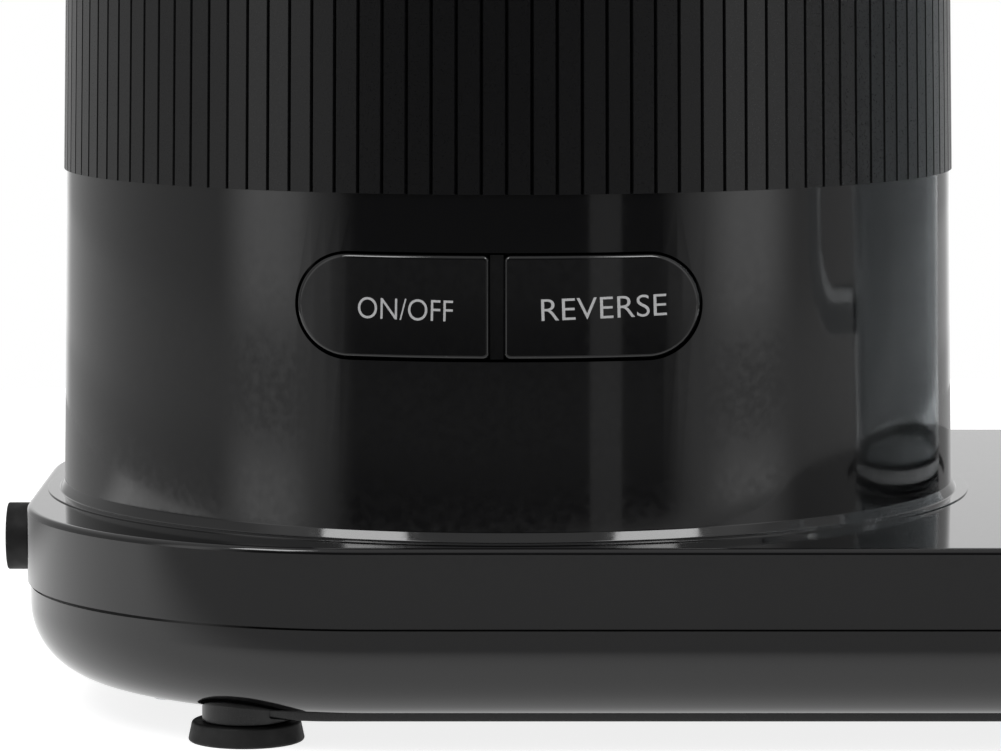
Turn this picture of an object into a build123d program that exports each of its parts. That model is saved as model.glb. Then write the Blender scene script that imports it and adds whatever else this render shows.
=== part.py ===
from build123d import *
from math import acos, atan2, cos, degrees, pi, radians, sin, tan
import os

# Vertical cold press juicer: a low base with a round motor tower at one end and a jug
# platform at the other, and a juicing bowl locked on top of the tower.
# Millimetres. Heights are above the table, and places are measured from the tower's axis:
# +X runs along the base to the jug, -Y faces the user's buttons.

# Base: two mouldings that meet at a seam, on a plate with rubber feet
END_MARGIN = 1.8
SIDE_MARGIN = 1.3
BASE_RIGHT = 180.0
BASE_CORNER_R = 57.5
WALL = 2.8
DECK_Z = 33.8
SEAM_Z = 21.15
DECK_EDGE_R = 1.0
LIP_WIDTH = 7.0
LIP_THICK = 2.0
TRAY_INSET = 4.0
TRAY_ROUND = 7.0
SEAM_GROOVE = 0.6
PLATE_Z = 4.8
PLATE_THICK = 1.5
PLATE_INSET = 9.0
FOOT_FROM_END = 40.0
FOOT_FROM_SIDE = 21.0
FOOT_R = 9.5
FOOT_NECK_R = 8.4
FOOT_HEIGHT = 3.6
FOOT_RIM = 1.6
FOOT_STEM_R = 3.0
PEDESTAL_R = 7.3
PEDESTAL_FLARE = 0.8
POST_R = 4.0
POST_FROM_CORNER = 14.7
POST_FROM_SIDE = 19.5
POST_FROM_END = 84.0
SCREW_R = 1.6
SCREW_HEAD_R = 3.2
SCREW_HEAD = 1.6
SCREW_GRIP = 8.0
SCREW_PLAY = 0.1
VENT_WIDTH = 3.0
VENT_PITCH = 7.0
VENT_COUNT = 9
VENT_FIELD_R = 34.0

# Motor tower
TOWER_FLARE = 0.85
BEAD_REACH = 4.35
BEAD_HEIGHT = 1.1
BEAD_ROUND = 0.6
FOOT_FILLET = 3.5
SLEEVE_Z = 88.5
SLEEVE_PROUD = 0.5
SLEEVE_DRAFT = 1.0
NECK_SET_BACK = 2.6
RIBS = 120
RIB_GROOVE = 0.6
RIB_DEPTH = 0.6
LEDGE_WIDTH = 9.6
LEDGE_THICK = 5.0

# Cord gland in the left end
GLAND_RISE = 3.55
GLAND_R = 5.8
GLAND_FLANGE = 1.4
GLAND_BORE_R = 3.6
GLAND_LENGTH = 12.0
GLAND_RIBS = 4
GLAND_RIB_DEPTH = 1.2

# Buttons in one pill-shaped opening, turned a little off the front
BUTTON_TURN = -1.3
BUTTON_Z = 70.6
OPENING_WIDTH = 63.6
OPENING_HEIGHT = 16.6
BUTTON_GAP = 0.35
BUTTON_PROUD = 0.25
BUTTON_DEPTH = 5.0
BUTTON_TRAVEL = 1.5
BUTTON_CORNER_R = 1.6
BUTTON_FLANGE = 1.2
DIVIDER_WIDTH = 2.4
DIVIDER_SET_BACK = 0.6
DIVIDER_X = 0.6
STEM_R = 2.0
SWITCH_SET_BACK = 13.5
SWITCH_SIDE = 12.0
SWITCH_DEPTH = 5.5
SWITCH_BOARD_WIDTH = 68.0
SWITCH_BOARD_HEIGHT = 18.0
CARRIER_MARGIN = 6.0
CARRIER_WIDTH = SWITCH_BOARD_WIDTH + 2 * CARRIER_MARGIN
CARRIER_THICK = 2.4
ARM_WIDTH = 4.0
ARM_HEIGHT = 12.0
ARM_FIT = 0.2

# Control board in the base, below the jug
BOARD_THICK = 1.6
BOARD_LENGTH = 60.0
BOARD_DEPTH = 82.0
BOARD_SET_BACK = 7.0
BOARD_RISE = 5.0
BOARD_POST_R = 3.0
BOARD_POST_INSET = 5.0
CAPACITOR_R = 6.5
CAPACITOR_LENGTH = 35.0
RELAY_SIDE = 17.0
RELAY_HEIGHT = 12.0
TRANSFORMER_SIDE = 19.0
SINK_LENGTH = 36.0
SINK_DEPTH = 12.0
SINK_HEIGHT = 12.0
SINK_FIN = 1.6
SINK_FINS = 6

# Motor, hung under the gearbox plate
MOTOR_R = 42.5
MOTOR_BOLT_INSET = 3.9
MOTOR_BOLT = 2.0
ROTOR_R = 23.9
AIR_GAP = 0.4
STACK_HEIGHT = 30.0
BELL_HEIGHT = 13.0
BELL_WALL = 2.5
SHAFT_R = 4.0
BEARING_R = 11.0
BEARING_WIDTH = 7.0
RUNNING_FIT = 0.05
FAN_R = 34.0
FAN_BLADES = 9
FAN_HEIGHT = 11.0
FAN_GAP = 3.5
FAN_DISC = 1.5
FAN_BLADE = 1.6

# Gearbox: three spur stages that fold back onto the tower's axis
GEARBOX_RISE = 7.5
GEARBOX_FLOOR = 4.0
GEARBOX_FLANGE = 4.9
GEARBOX_FLANGE_THICK = 3.0
GEARBOX_WALL = 2.0
GEARBOX_ROOF = 4.0
GEARBOX_HEADROOM = 5.4
GEARBOX_FIT = 0.4
GEAR_CLEARANCE = 2.6
NECK_ABOVE_GEARBOX = 8.0
PRESSURE = radians(20)
BACKLASH = 0.12
PINION_TEETH = 12
WHEEL1_TEETH = 40
MODULE1 = 1.0
MIDDLE_TEETH = 12
WHEEL2_TEETH = 30
MODULE2 = 1.25
LAST_TEETH = 11
WHEEL3_TEETH = 28
MODULE3 = 2.0
FACE1 = 6.0
FACE2 = 8.0
FACE3 = 12.0
GEAR_GAP = 1.2
PIN_R = 2.5
OUTPUT_R = 6.0
HEX_RELIEF = 0.2
HEX_LENGTH = 22.0
OUTPUT_BEARING_R = 14.0
OUTPUT_HUB_WALL = 3.5
OUTPUT_HUB_HEIGHT = 9.0

# Top cover of the tower
COVER_HEIGHT = 10.0
COVER_EDGE_R = 4.0
COVER_OVERHANG = 1.8
COVER_THICK = 3.0
COVER_SPIGOT = 5.0
RING_HEIGHT = 3.0
RING_WIDTH = 2.4
HUB_R = 16.0
HUB_WALL = 3.0
HUB_HEIGHT = 7.0
HUB_ROOF = 2.4
COVER_BOSS_INSET = 6.5

# Bowl
FIT = 0.3
BOWL_BOTTOM_R = 55.5
BOWL_FLARE = 2.5
BOWL_WALL = 2.8
BOWL_DEPTH = 84.0
BOWL_FLOOR = 3.0
RIM_WIDTH = 5.0
RIM_HEIGHT = 4.0
SKIRT_STEP = 4.2
SKIRT_WALL = 3.0
SEAL_R = 9.0
BOWL_HUB_WALL = 3.0
BOWL_HUB_GAP = 2.0
DUCT_WIDTH = 28.0
DUCT_CHANNEL = 9.1
DUCT_WALL = 2.4
DUCT_ROOF = 2.0
DUCT_GAP = 0.5
DUCT_FROM_SIDE = 0.5
SPOUT_RISE = 8.5
SPOUT_BORE_R = 7.0
SPOUT_WALL = 2.4
SPOUT_FLANGE_R = 11.6
SPOUT_FLANGE = 3.0
SPOUT_FROM_JUG_AXIS = 27.0
CAP_THICK = 3.4
PLUG_SEAT = 1.2
PLUG_PLAY = 0.8
PLUG_REACH = 1.6
HINGE_RISE = 15.5
HINGE_PIN_R = 1.5
KNUCKLE_R = 3.2
KNUCKLE_WIDTH = 8.0
EAR_WIDTH = 3.0

# Strainer and auger
SCREEN_BOTTOM_R = 38.6
SCREEN_FLARE = 8.6
SCREEN_THICK = 0.6
SCREEN_HEADROOM = 13.0
STRAINER_FLOOR = 2.0
STRAINER_RING = 3.0
STRAINER_RIBS = 8
STRAINER_RIB = 2.4
STRAINER_FLANGE = 2.0
STRAINER_FIT = 1.2
SLOTS = 24
SLOT_WIDTH = 1.0
SLOT_MARGIN = 7.0
SLOT_BRIDGE = 4.0
AUGER_CLEARANCE = 0.7
AUGER_NECK_R = 17.6
AUGER_FLOOR_GAP = 0.4
AUGER_SLEEVE_WALL = 4.0
AUGER_CORE_BOTTOM_R = 27.0
AUGER_CORE_TOP_R = 14.0
AUGER_FLIGHTS = 2
FLIGHT_ANGLE = 0.5
FLIGHT_TURN = 430.0
AUGER_PIN_R = 4.0
AUGER_PIN_LENGTH = 5.5
AUGER_PIN_GAP = 0.5

# Hopper lid, tray and pusher
GASKET_THICK = 1.2
LID_THICK = 3.0
LID_SKIRT = 8.0
LID_WALL = 2.4
BUSHING_WALL = 3.5
BUSHING_DEPTH = 5.6
CHUTE_X = 30.0
CHUTE_R = 20.5
CHUTE_WALL = 2.5
CHUTE_HEIGHT = 80.0
TRAY_RIM_R = 50.0
TRAY_DEPTH = 20.0
TRAY_WALL = 2.4
TRAY_COLLAR = 10.0
TRAY_SEAT = 1.2
PUSHER_GAP = 0.6
PUSHER_WALL = 2.4
PUSHER_STOP = 3.0
PUSHER_LENGTH = 70.0
KNOB_R = 26.0
KNOB_HEIGHT = 13.0
PUSHER_NECK = 18.0
KNOB_PLUG = 4.0

# Juice jug
JUG_BOTTOM_R = 38.0
JUG_FLARE = 4.0
JUG_HEIGHT = 117.0
JUG_WALL = 2.4
JUG_FOOT = 0.8
LIP_REACH = 6.0
LIP_DROP = 14.0
RECESS_R = 44.0
RECESS_DEPTH = 1.0
RECESS_FROM_END = 5.0
HANDLE_REACH = 25.0
HANDLE_THICK = 9.0
HANDLE_WIDTH = 12.6
HANDLE_TOP = 18.0
HANDLE_FOOT = 30.0
HANDLE_BEND = 12.0

# Axes of the folded gear train

def pinion_shift(teeth):
    """Profile shift, in modules, that just keeps a small pinion from being undercut."""
    return max(0.0, (17 - teeth) / 17)


def centre_distance(teeth, pinion_teeth, module):
    """Distance between a wheel's axis and that of the shifted pinion it meshes with."""
    return module * ((teeth + pinion_teeth) / 2 + pinion_shift(pinion_teeth))


def first_axis():
    """Axis of the first countershaft, at its mesh distance from the motor and the second."""
    to_motor = centre_distance(WHEEL1_TEETH, PINION_TEETH, MODULE1)
    to_second = centre_distance(WHEEL2_TEETH, MIDDLE_TEETH, MODULE2)
    reach = second_axis()[1]
    y = (to_motor ** 2 - to_second ** 2 + reach ** 2) / (2 * reach)
    return (to_motor ** 2 - y ** 2) ** 0.5, y


def second_axis():
    """Axis of the second countershaft, straight behind the tower's axis."""
    return 0.0, centre_distance(WHEEL3_TEETH, LAST_TEETH, MODULE3)


# Radii that follow from the gear train, outwards to the base
GEAR_REACH = second_axis()[1] + MODULE2 * (WHEEL2_TEETH / 2 + 1)
GEARBOX_R = GEAR_REACH + GEAR_CLEARANCE + GEARBOX_WALL
GEARBOX_FLANGE_R = GEARBOX_R + GEARBOX_FLANGE
NECK_BORE_R = GEARBOX_FLANGE_R + GEARBOX_FIT
NECK_R = NECK_BORE_R + WALL
LEDGE_R = NECK_BORE_R - LEDGE_WIDTH
TOWER_R = NECK_R + NECK_SET_BACK
TOWER_FOOT_R = TOWER_R + TOWER_FLARE
SLEEVE_R = TOWER_R + SLEEVE_PROUD
BEAD_R = TOWER_FOOT_R + BEAD_REACH
BASE_LEFT = BEAD_R + END_MARGIN
BASE_DEPTH = 2 * (BEAD_R + SIDE_MARGIN)
BASE_LENGTH = BASE_LEFT + BASE_RIGHT
BASE_MID_X = (BASE_RIGHT - BASE_LEFT) / 2

# Other radii and places along the base
MOTOR_BOLT_R = MOTOR_R - MOTOR_BOLT_INSET
SWITCH_Y = TOWER_R - SWITCH_SET_BACK
HEX_ACROSS = 2 * (OUTPUT_R - HEX_RELIEF) * cos(pi / 6)
BOWL_TOP_R = BOWL_BOTTOM_R + BOWL_FLARE
RIM_R = BOWL_TOP_R + RIM_WIDTH
SKIRT_R = BOWL_BOTTOM_R + BOWL_WALL + SKIRT_STEP
COVER_BOSS_R = SKIRT_R - COVER_BOSS_INSET
DUCT_END = BASE_DEPTH / 2 - DUCT_FROM_SIDE
SCREEN_TOP_R = SCREEN_BOTTOM_R + SCREEN_FLARE
SLEEVE_END_R = HEX_ACROSS / 2 + AUGER_SLEEVE_WALL
JUG_X = BASE_RIGHT - RECESS_R - RECESS_FROM_END
JUG_TOP_R = JUG_BOTTOM_R + JUG_FLARE
BOARD_X = JUG_X - BOARD_SET_BACK
SPOUT_END = JUG_X - SPOUT_FROM_JUG_AXIS
PIN_X = SPOUT_END - HINGE_PIN_R

# Heights, from the table up
TRAY_Z = PLATE_Z + PLATE_THICK
TRAY_FLOOR_Z = TRAY_Z + WALL
BOARD_Z = TRAY_FLOOR_Z + BOARD_RISE
GLAND_Z = SEAM_Z + GLAND_RISE
POST_TOP_Z = DECK_Z - WALL
BEAD_Z = DECK_Z + BEAD_HEIGHT
GEARBOX_Z = SLEEVE_Z + GEARBOX_RISE
GEARBOX_FLOOR_Z = GEARBOX_Z + GEARBOX_FLOOR
STACK_Z = GEARBOX_Z - BELL_HEIGHT - STACK_HEIGHT
MOTOR_Z = STACK_Z - BELL_HEIGHT
STAGE1_Z = GEARBOX_FLOOR_Z + GEAR_GAP
STAGE2_Z = STAGE1_Z + FACE1 + GEAR_GAP
STAGE3_Z = STAGE2_Z + FACE2 + GEAR_GAP + 1
GEARBOX_CEILING_Z = STAGE3_Z + FACE3 + GEARBOX_HEADROOM
GEARBOX_TOP_Z = GEARBOX_CEILING_Z + GEARBOX_ROOF
OUTPUT_HUB_Z = GEARBOX_TOP_Z + OUTPUT_HUB_HEIGHT
SLEEVE_TOP_Z = GEARBOX_TOP_Z + NECK_ABOVE_GEARBOX
COVER_Z = SLEEVE_TOP_Z + COVER_HEIGHT
HUB_Z = COVER_Z + HUB_HEIGHT
SEAT_Z = COVER_Z + FIT
DUCT_Z = COVER_Z + RING_HEIGHT + DUCT_GAP
DUCT_TOP_Z = DUCT_Z + DUCT_WALL + DUCT_CHANNEL + DUCT_ROOF
FLOOR_Z = DUCT_TOP_Z + BOWL_FLOOR
BOWL_HUB_Z = HUB_Z + BOWL_HUB_GAP
RIM_Z = FLOOR_Z + BOWL_DEPTH
LID_Z = RIM_Z + GASKET_THICK + FIT
CHUTE_TOP_Z = LID_Z + CHUTE_HEIGHT
STOP_Z = CHUTE_TOP_Z + TRAY_SEAT + FIT
SPOUT_Z = FLOOR_Z + SPOUT_RISE
HINGE_Z = SPOUT_Z + HINGE_RISE
SHAFT_TOP_Z = FLOOR_Z - 0.5 + HEX_LENGTH
SCREEN_Z = FLOOR_Z + STRAINER_FLOOR + STRAINER_RING
SCREEN_TOP_Z = RIM_Z - SCREEN_HEADROOM
SCREEN_HEIGHT = SCREEN_TOP_Z - SCREEN_Z
AUGER_Z = SCREEN_Z - 2.5
AUGER_TOP_Z = SCREEN_TOP_Z + 5
TOWER_X = (BASE_LEFT + GLAND_LENGTH - BASE_RIGHT) / 2


# Shapes that several pieces share

def disc(radius, low, high, x=0.0, y=0.0):
    """Upright cylinder between two heights."""
    return Pos(x, y, (low + high) / 2) * Cylinder(radius, high - low)


def ring(outer, inner, low, high, x=0.0, y=0.0):
    """Upright tube between two heights."""
    return disc(outer, low, high, x, y) - disc(inner, low, high, x, y)


def block(x_low, x_high, y_low, y_high, low, high):
    """Box between two corners."""
    middle = Pos((x_low + x_high) / 2, (y_low + y_high) / 2, (low + high) / 2)
    return middle * Box(x_high - x_low, y_high - y_low, high - low)


def outline(corners):
    """Closed face; a corner is (x, y), or (x, y, rounding)."""
    points = [corner[:2] for corner in corners]
    roundings = [corner[2] if len(corner) > 2 else 0 for corner in corners]
    return make_face(FilletPolyline(*points, radius=roundings, close=True))


def turned(corners):
    """Solid of revolution about the tower's axis, from an outline of (radius, height)."""
    return revolve(Plane.XZ * outline(corners), Axis.Z)


def around(count, shape, first=0.0):
    """Copies of a shape, evenly spaced about the tower's axis."""
    return Part() + [Rot(0, 0, first + 360 * i / count) * shape for i in range(count)]


def lying(radius, x_low, x_high, y, z):
    """Cylinder along X."""
    return Pos((x_low + x_high) / 2, y, z) * Rot(0, 90, 0) * Cylinder(radius, x_high - x_low)


def base_slab(inset, low, high):
    """The base's plan, set in from its outline, between two heights."""
    plan = RectangleRounded(BASE_LENGTH - 2 * inset, BASE_DEPTH - 2 * inset, BASE_CORNER_R - inset)
    return extrude(Pos(BASE_MID_X, 0, low) * plan, high - low)


def rounded_slab(inset, low, high, rounding):
    """Base slab whose lower edge is rounded."""
    slab = base_slab(inset, low, high)
    return fillet(slab.faces().sort_by(Axis.Z)[0].edges(), rounding)


def foot_places():
    """Axes of the four feet."""
    y = BASE_DEPTH / 2 - FOOT_FROM_SIDE
    ends = (FOOT_FROM_END - BASE_LEFT, BASE_RIGHT - FOOT_FROM_END)
    return [(x, side * y) for x in ends for side in (-1, 1)]


def post_places():
    """Axes of the six posts that hold the base together: one at each corner, two between."""
    slant = (BASE_CORNER_R - POST_FROM_CORNER) * cos(pi / 4)
    corner_y = BASE_DEPTH / 2 - BASE_CORNER_R + slant
    left = (BASE_CORNER_R - BASE_LEFT - slant, corner_y)
    middle = (BASE_RIGHT - POST_FROM_END, BASE_DEPTH / 2 - POST_FROM_SIDE)
    right = (BASE_RIGHT - BASE_CORNER_R + slant, corner_y)
    return [(x, side * y) for x, y in (left, middle, right) for side in (-1, 1)]


# Base

def jug_recess():
    """Round dish in the deck that the jug stands in."""
    return disc(RECESS_R, DECK_Z - RECESS_DEPTH, DECK_Z + 1, JUG_X)


def gland_hole():
    """Hole for the cord gland, half in each base moulding."""
    return lying(GLAND_R, -BASE_LEFT - 1, -BASE_LEFT + 2 * LIP_WIDTH, 0, GLAND_Z)


def button_prism(face):
    """A face in the buttons' own plane, carried through the front of the tower."""
    front = extrude(Plane.XZ.offset(SWITCH_Y) * face, BEAD_R - SWITCH_Y)
    return Rot(0, 0, BUTTON_TURN) * Pos(0, 0, BUTTON_Z) * front


def main_housing():
    """Deck and motor tower, one glossy moulding."""
    deck = base_slab(0, SEAM_Z, DECK_Z)
    deck = fillet(deck.faces().sort_by(Axis.Z)[-1].edges(), DECK_EDGE_R)
    tower = turned([
        (0, SEAM_Z + LIP_THICK),
        (TOWER_FOOT_R, SEAM_Z + LIP_THICK),
        (TOWER_FOOT_R, DECK_Z - WALL),
        (BEAD_R, DECK_Z - WALL),
        (BEAD_R, BEAD_Z, BEAD_ROUND),
        (TOWER_FOOT_R, BEAD_Z, FOOT_FILLET),
        (TOWER_R, SLEEVE_Z),
        (NECK_R, SLEEVE_Z),
        (NECK_R, SLEEVE_TOP_Z),
        (0, SLEEVE_TOP_Z),
    ])
    body = deck + tower
    body -= base_slab(WALL, SEAM_Z + LIP_THICK, DECK_Z - WALL)
    body -= base_slab(LIP_WIDTH, SEAM_Z, DECK_Z - WALL)
    lower_bore_r = TOWER_FOOT_R - WALL
    body -= turned([
        (0, SEAM_Z),
        (lower_bore_r, SEAM_Z),
        (TOWER_R - WALL, SLEEVE_Z - WALL - 2),
        (NECK_BORE_R, SLEEVE_Z - 2),
        (LEDGE_R, GEARBOX_Z - LEDGE_THICK),
        (LEDGE_R, GEARBOX_Z),
        (NECK_BORE_R, GEARBOX_Z),
        (NECK_BORE_R, SLEEVE_TOP_Z),
        (0, SLEEVE_TOP_Z),
    ])
    body += [disc(POST_R, TRAY_FLOOR_Z, POST_TOP_Z, x, y) for x, y in post_places()]
    body -= [disc(SCREW_R, TRAY_FLOOR_Z, POST_TOP_Z - 6, x, y) for x, y in post_places()]
    body -= jug_recess() + gland_hole()
    body -= around(4, disc(SCREW_R, GEARBOX_Z - 4, GEARBOX_Z, gearbox_screw_r()), 45)
    return body - button_prism(SlotOverall(OPENING_WIDTH, OPENING_HEIGHT))


def base_tray():
    """Lower tray of the base, drawn in under the deck like a shallow bowl."""
    tray = rounded_slab(TRAY_INSET, TRAY_Z, SEAM_Z, TRAY_ROUND)
    tray -= rounded_slab(TRAY_INSET + WALL, TRAY_FLOOR_Z, SEAM_Z + 6, TRAY_ROUND - WALL)
    groove = base_slab(0, SEAM_Z - SEAM_GROOVE, SEAM_Z)
    groove -= base_slab(TRAY_INSET + 1, SEAM_Z - SEAM_GROOVE, SEAM_Z)
    tray -= groove + gland_hole()
    tray -= disc(VENT_FIELD_R + 4, TRAY_Z, TRAY_FLOOR_Z)
    tray += [disc(BOARD_POST_R, TRAY_FLOOR_Z, BOARD_Z, x, y) for x, y in board_posts()]
    return tray - screw_holes(TRAY_Z, TRAY_FLOOR_Z)


def screw_holes(low, high):
    """Clearance holes for the six screws from below."""
    return Part() + [disc(SCREW_R + SCREW_PLAY, low, high, x, y) for x, y in post_places()]


def bottom_plate():
    """Plate that closes the base, with the feet's pedestals and the cooling slots."""
    plate = base_slab(PLATE_INSET, PLATE_Z, TRAY_Z)
    pedestal = Cone(PEDESTAL_R, PEDESTAL_R + PEDESTAL_FLARE, PLATE_Z - FOOT_HEIGHT)
    pedestal = Pos(0, 0, (FOOT_HEIGHT + PLATE_Z) / 2) * pedestal
    plate += [Pos(x, y, 0) * pedestal for x, y in foot_places()]
    plate -= [disc(FOOT_STEM_R, FOOT_HEIGHT, TRAY_Z, x, y) for x, y in foot_places()]
    plate -= screw_holes(PLATE_Z, TRAY_Z)
    for i in range(VENT_COUNT):
        y = VENT_PITCH * (i - (VENT_COUNT - 1) / 2)
        half = (VENT_FIELD_R ** 2 - y ** 2) ** 0.5
        plate -= block(-half, half, y - VENT_WIDTH / 2, y + VENT_WIDTH / 2, PLATE_Z, TRAY_Z)
    return plate


def rubber_feet():
    """Four cup-shaped feet, each with a stem pushed into its pedestal."""
    foot = turned([
        (0, FOOT_RIM),
        (FOOT_R - 2 * FOOT_RIM, FOOT_RIM),
        (FOOT_R - FOOT_RIM, 0),
        (FOOT_R, 0),
        (FOOT_NECK_R, FOOT_HEIGHT),
        (FOOT_STEM_R, FOOT_HEIGHT),
        (FOOT_STEM_R, TRAY_Z),
        (0, TRAY_Z),
    ])
    return Part() + [Pos(x, y, 0) * foot for x, y in foot_places()]


def bottom_screws():
    """Six screws through the plate and the tray into the deck's posts."""
    screw = disc(SCREW_HEAD_R, PLATE_Z - SCREW_HEAD, PLATE_Z)
    screw += disc(SCREW_R, PLATE_Z, TRAY_FLOOR_Z + SCREW_GRIP)
    return Part() + [Pos(x, y, 0) * screw for x, y in post_places()]


def cord_gland():
    """Moulded strain relief, clamped between the two base mouldings."""
    wall_x = -BASE_LEFT
    end_x = wall_x - GLAND_LENGTH
    inner_x = wall_x + LIP_WIDTH + 2
    gland = lying(GLAND_R + GLAND_FLANGE, wall_x - GLAND_FLANGE, wall_x, 0, GLAND_Z)
    gland += lying(GLAND_R, end_x, inner_x, 0, GLAND_Z)
    pitch = (GLAND_LENGTH - 2 * GLAND_FLANGE) / GLAND_RIBS
    for i in range(GLAND_RIBS):
        low = end_x + pitch * (i + 0.6)
        groove = lying(GLAND_R + GLAND_FLANGE, low, low + pitch * 0.4, 0, GLAND_Z)
        gland -= groove - lying(GLAND_R - GLAND_RIB_DEPTH, low, low + pitch * 0.4, 0, GLAND_Z)
    return gland - lying(GLAND_BORE_R, end_x, inner_x, 0, GLAND_Z)


# Sleeve and buttons

def ribbed_outline(radius):
    """Circle of flat lands with a narrow V groove between each pair."""
    pitch = 2 * pi / RIBS
    groove = RIB_GROOVE / radius
    points = []
    for i in range(RIBS):
        start = i * pitch
        for r, angle in ((radius, start), (radius, start + pitch - groove),
                         (radius - RIB_DEPTH, start + pitch - groove / 2)):
            points.append((r * cos(angle), r * sin(angle)))
    return make_face(Polyline(*points, close=True))


def ribbed_sleeve():
    """Matte fluted sleeve round the tower's upper half, with a moulding draft."""
    height = SLEEVE_TOP_Z - SLEEVE_Z
    top_r = SLEEVE_R - height * tan(radians(SLEEVE_DRAFT))
    lower = Pos(0, 0, SLEEVE_Z) * ribbed_outline(SLEEVE_R)
    upper = Pos(0, 0, SLEEVE_TOP_Z) * ribbed_outline(top_r)
    return loft([lower, upper], ruled=True) - disc(NECK_R + 0.1, SLEEVE_Z, SLEEVE_TOP_Z)


def button(side):
    """One half of the pill: a curved cap with a retaining flange and a stem to its switch."""
    width = OPENING_WIDTH / 2 - BUTTON_GAP
    split = DIVIDER_X + side * (DIVIDER_WIDTH / 2 + BUTTON_GAP)
    span = abs(side * width - split)
    middle = (side * width + split) / 2
    pill = SlotOverall(2 * width, OPENING_HEIGHT - 2 * BUTTON_GAP)
    half = pill & Pos(middle, 0) * Rectangle(span, OPENING_HEIGHT)
    inner = half.vertices().sort_by(Axis.X)
    corners = inner[-2:] if side < 0 else inner[:2]
    half = fillet(corners, BUTTON_CORNER_R)
    face_r = TOWER_R + BUTTON_PROUD + 0.3
    back_r = face_r - BUTTON_DEPTH
    low = BUTTON_Z - OPENING_HEIGHT
    high = BUTTON_Z + OPENING_HEIGHT
    cap = button_prism(half) & ring(face_r, back_r, low, high)
    edge = 2 * BUTTON_FLANGE + 2 * BUTTON_GAP
    wide = SlotOverall(2 * width + edge, OPENING_HEIGHT + 2 * BUTTON_FLANGE)
    frame = Rectangle(span + 2 * BUTTON_FLANGE, 2 * OPENING_HEIGHT)
    wide = wide & Pos(middle + side * BUTTON_FLANGE, 0) * frame
    cap += button_prism(wide) & ring(back_r + BUTTON_FLANGE, back_r, low, high)
    stem_end = SWITCH_Y - 1
    stem = Pos(switch_x(side), -(back_r + stem_end) / 2, BUTTON_Z) * Rot(90, 0, 0)
    return cap + Rot(0, 0, BUTTON_TURN) * stem * Cylinder(STEM_R, back_r - stem_end)


def switch_x(side):
    """Sideways place of a button's switch."""
    return DIVIDER_X + side * OPENING_WIDTH / 4


def switch_bodies():
    """Two square push switches, each with a well that its button's stem works in."""
    front = SWITCH_Y
    half = SWITCH_SIDE / 2
    depth = BUTTON_TRAVEL + 2.5
    parts = Part()
    for side in (-1, 1):
        x = switch_x(side)
        body = block(x - half, x + half, -front, -front + SWITCH_DEPTH, BUTTON_Z - half, BUTTON_Z + half)
        well = Pos(x, depth / 2 - front, BUTTON_Z) * Rot(90, 0, 0) * Cylinder(STEM_R + FIT, depth)
        parts += body - well
    return Rot(0, 0, BUTTON_TURN) * parts


def upright_plate(width, height, front, thick):
    """Plate behind the buttons, facing them."""
    return block(-width / 2, width / 2, -front, -front + thick, BUTTON_Z - height / 2, BUTTON_Z + height / 2)


def switch_board():
    """Circuit board behind the switches, with a slot for the divider."""
    front = SWITCH_Y - SWITCH_DEPTH
    board = upright_plate(SWITCH_BOARD_WIDTH, SWITCH_BOARD_HEIGHT, front, BOARD_THICK)
    slot = upright_plate(2 * DIVIDER_WIDTH, SWITCH_BOARD_HEIGHT - 2, front, BOARD_THICK)
    return Rot(0, 0, BUTTON_TURN) * (board - Pos(DIVIDER_X, 0, 0) * slot)


def button_carrier():
    """Bracket inside the tower that carries the board and the bar between the buttons."""
    back = SWITCH_Y - SWITCH_DEPTH - BOARD_THICK
    plate = upright_plate(CARRIER_WIDTH, SWITCH_BOARD_HEIGHT + 2, back, CARRIER_THICK)
    arm = upright_plate(ARM_WIDTH, ARM_HEIGHT, TOWER_R, TOWER_R - back)
    reach = (CARRIER_WIDTH - ARM_WIDTH) / 2
    low, high = BUTTON_Z - ARM_HEIGHT, BUTTON_Z + ARM_HEIGHT
    arms = (Pos(-reach, 0, 0) * arm + Pos(reach, 0, 0) * arm) & disc(TOWER_R - WALL - ARM_FIT, low, high)
    bar = upright_plate(DIVIDER_WIDTH, OPENING_HEIGHT - 2 * BUTTON_GAP, TOWER_R, TOWER_R - back)
    bar = Pos(DIVIDER_X, 0, 0) * bar & disc(TOWER_R - DIVIDER_SET_BACK, low, high)
    return Rot(0, 0, BUTTON_TURN) * (plate + arms + bar)


# Control electronics in the base

def board_posts():
    """Axes of the control board's four posts."""
    half_x = BOARD_LENGTH / 2 - BOARD_POST_INSET
    half_y = BOARD_DEPTH / 2 - BOARD_POST_INSET
    return [(BOARD_X + x, y) for x in (-half_x, half_x) for y in (-half_y, half_y)]


def control_board():
    """Power and control board on posts in the tray."""
    return Pos(BOARD_X, 0, BOARD_Z + BOARD_THICK / 2) * Box(BOARD_LENGTH, BOARD_DEPTH, BOARD_THICK)


def on_board(x, y, length, depth, height):
    """Block that stands on the control board, centred at a place on it."""
    return Pos(BOARD_X + x, y, BOARD_Z + BOARD_THICK + height / 2) * Box(length, depth, height)


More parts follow.
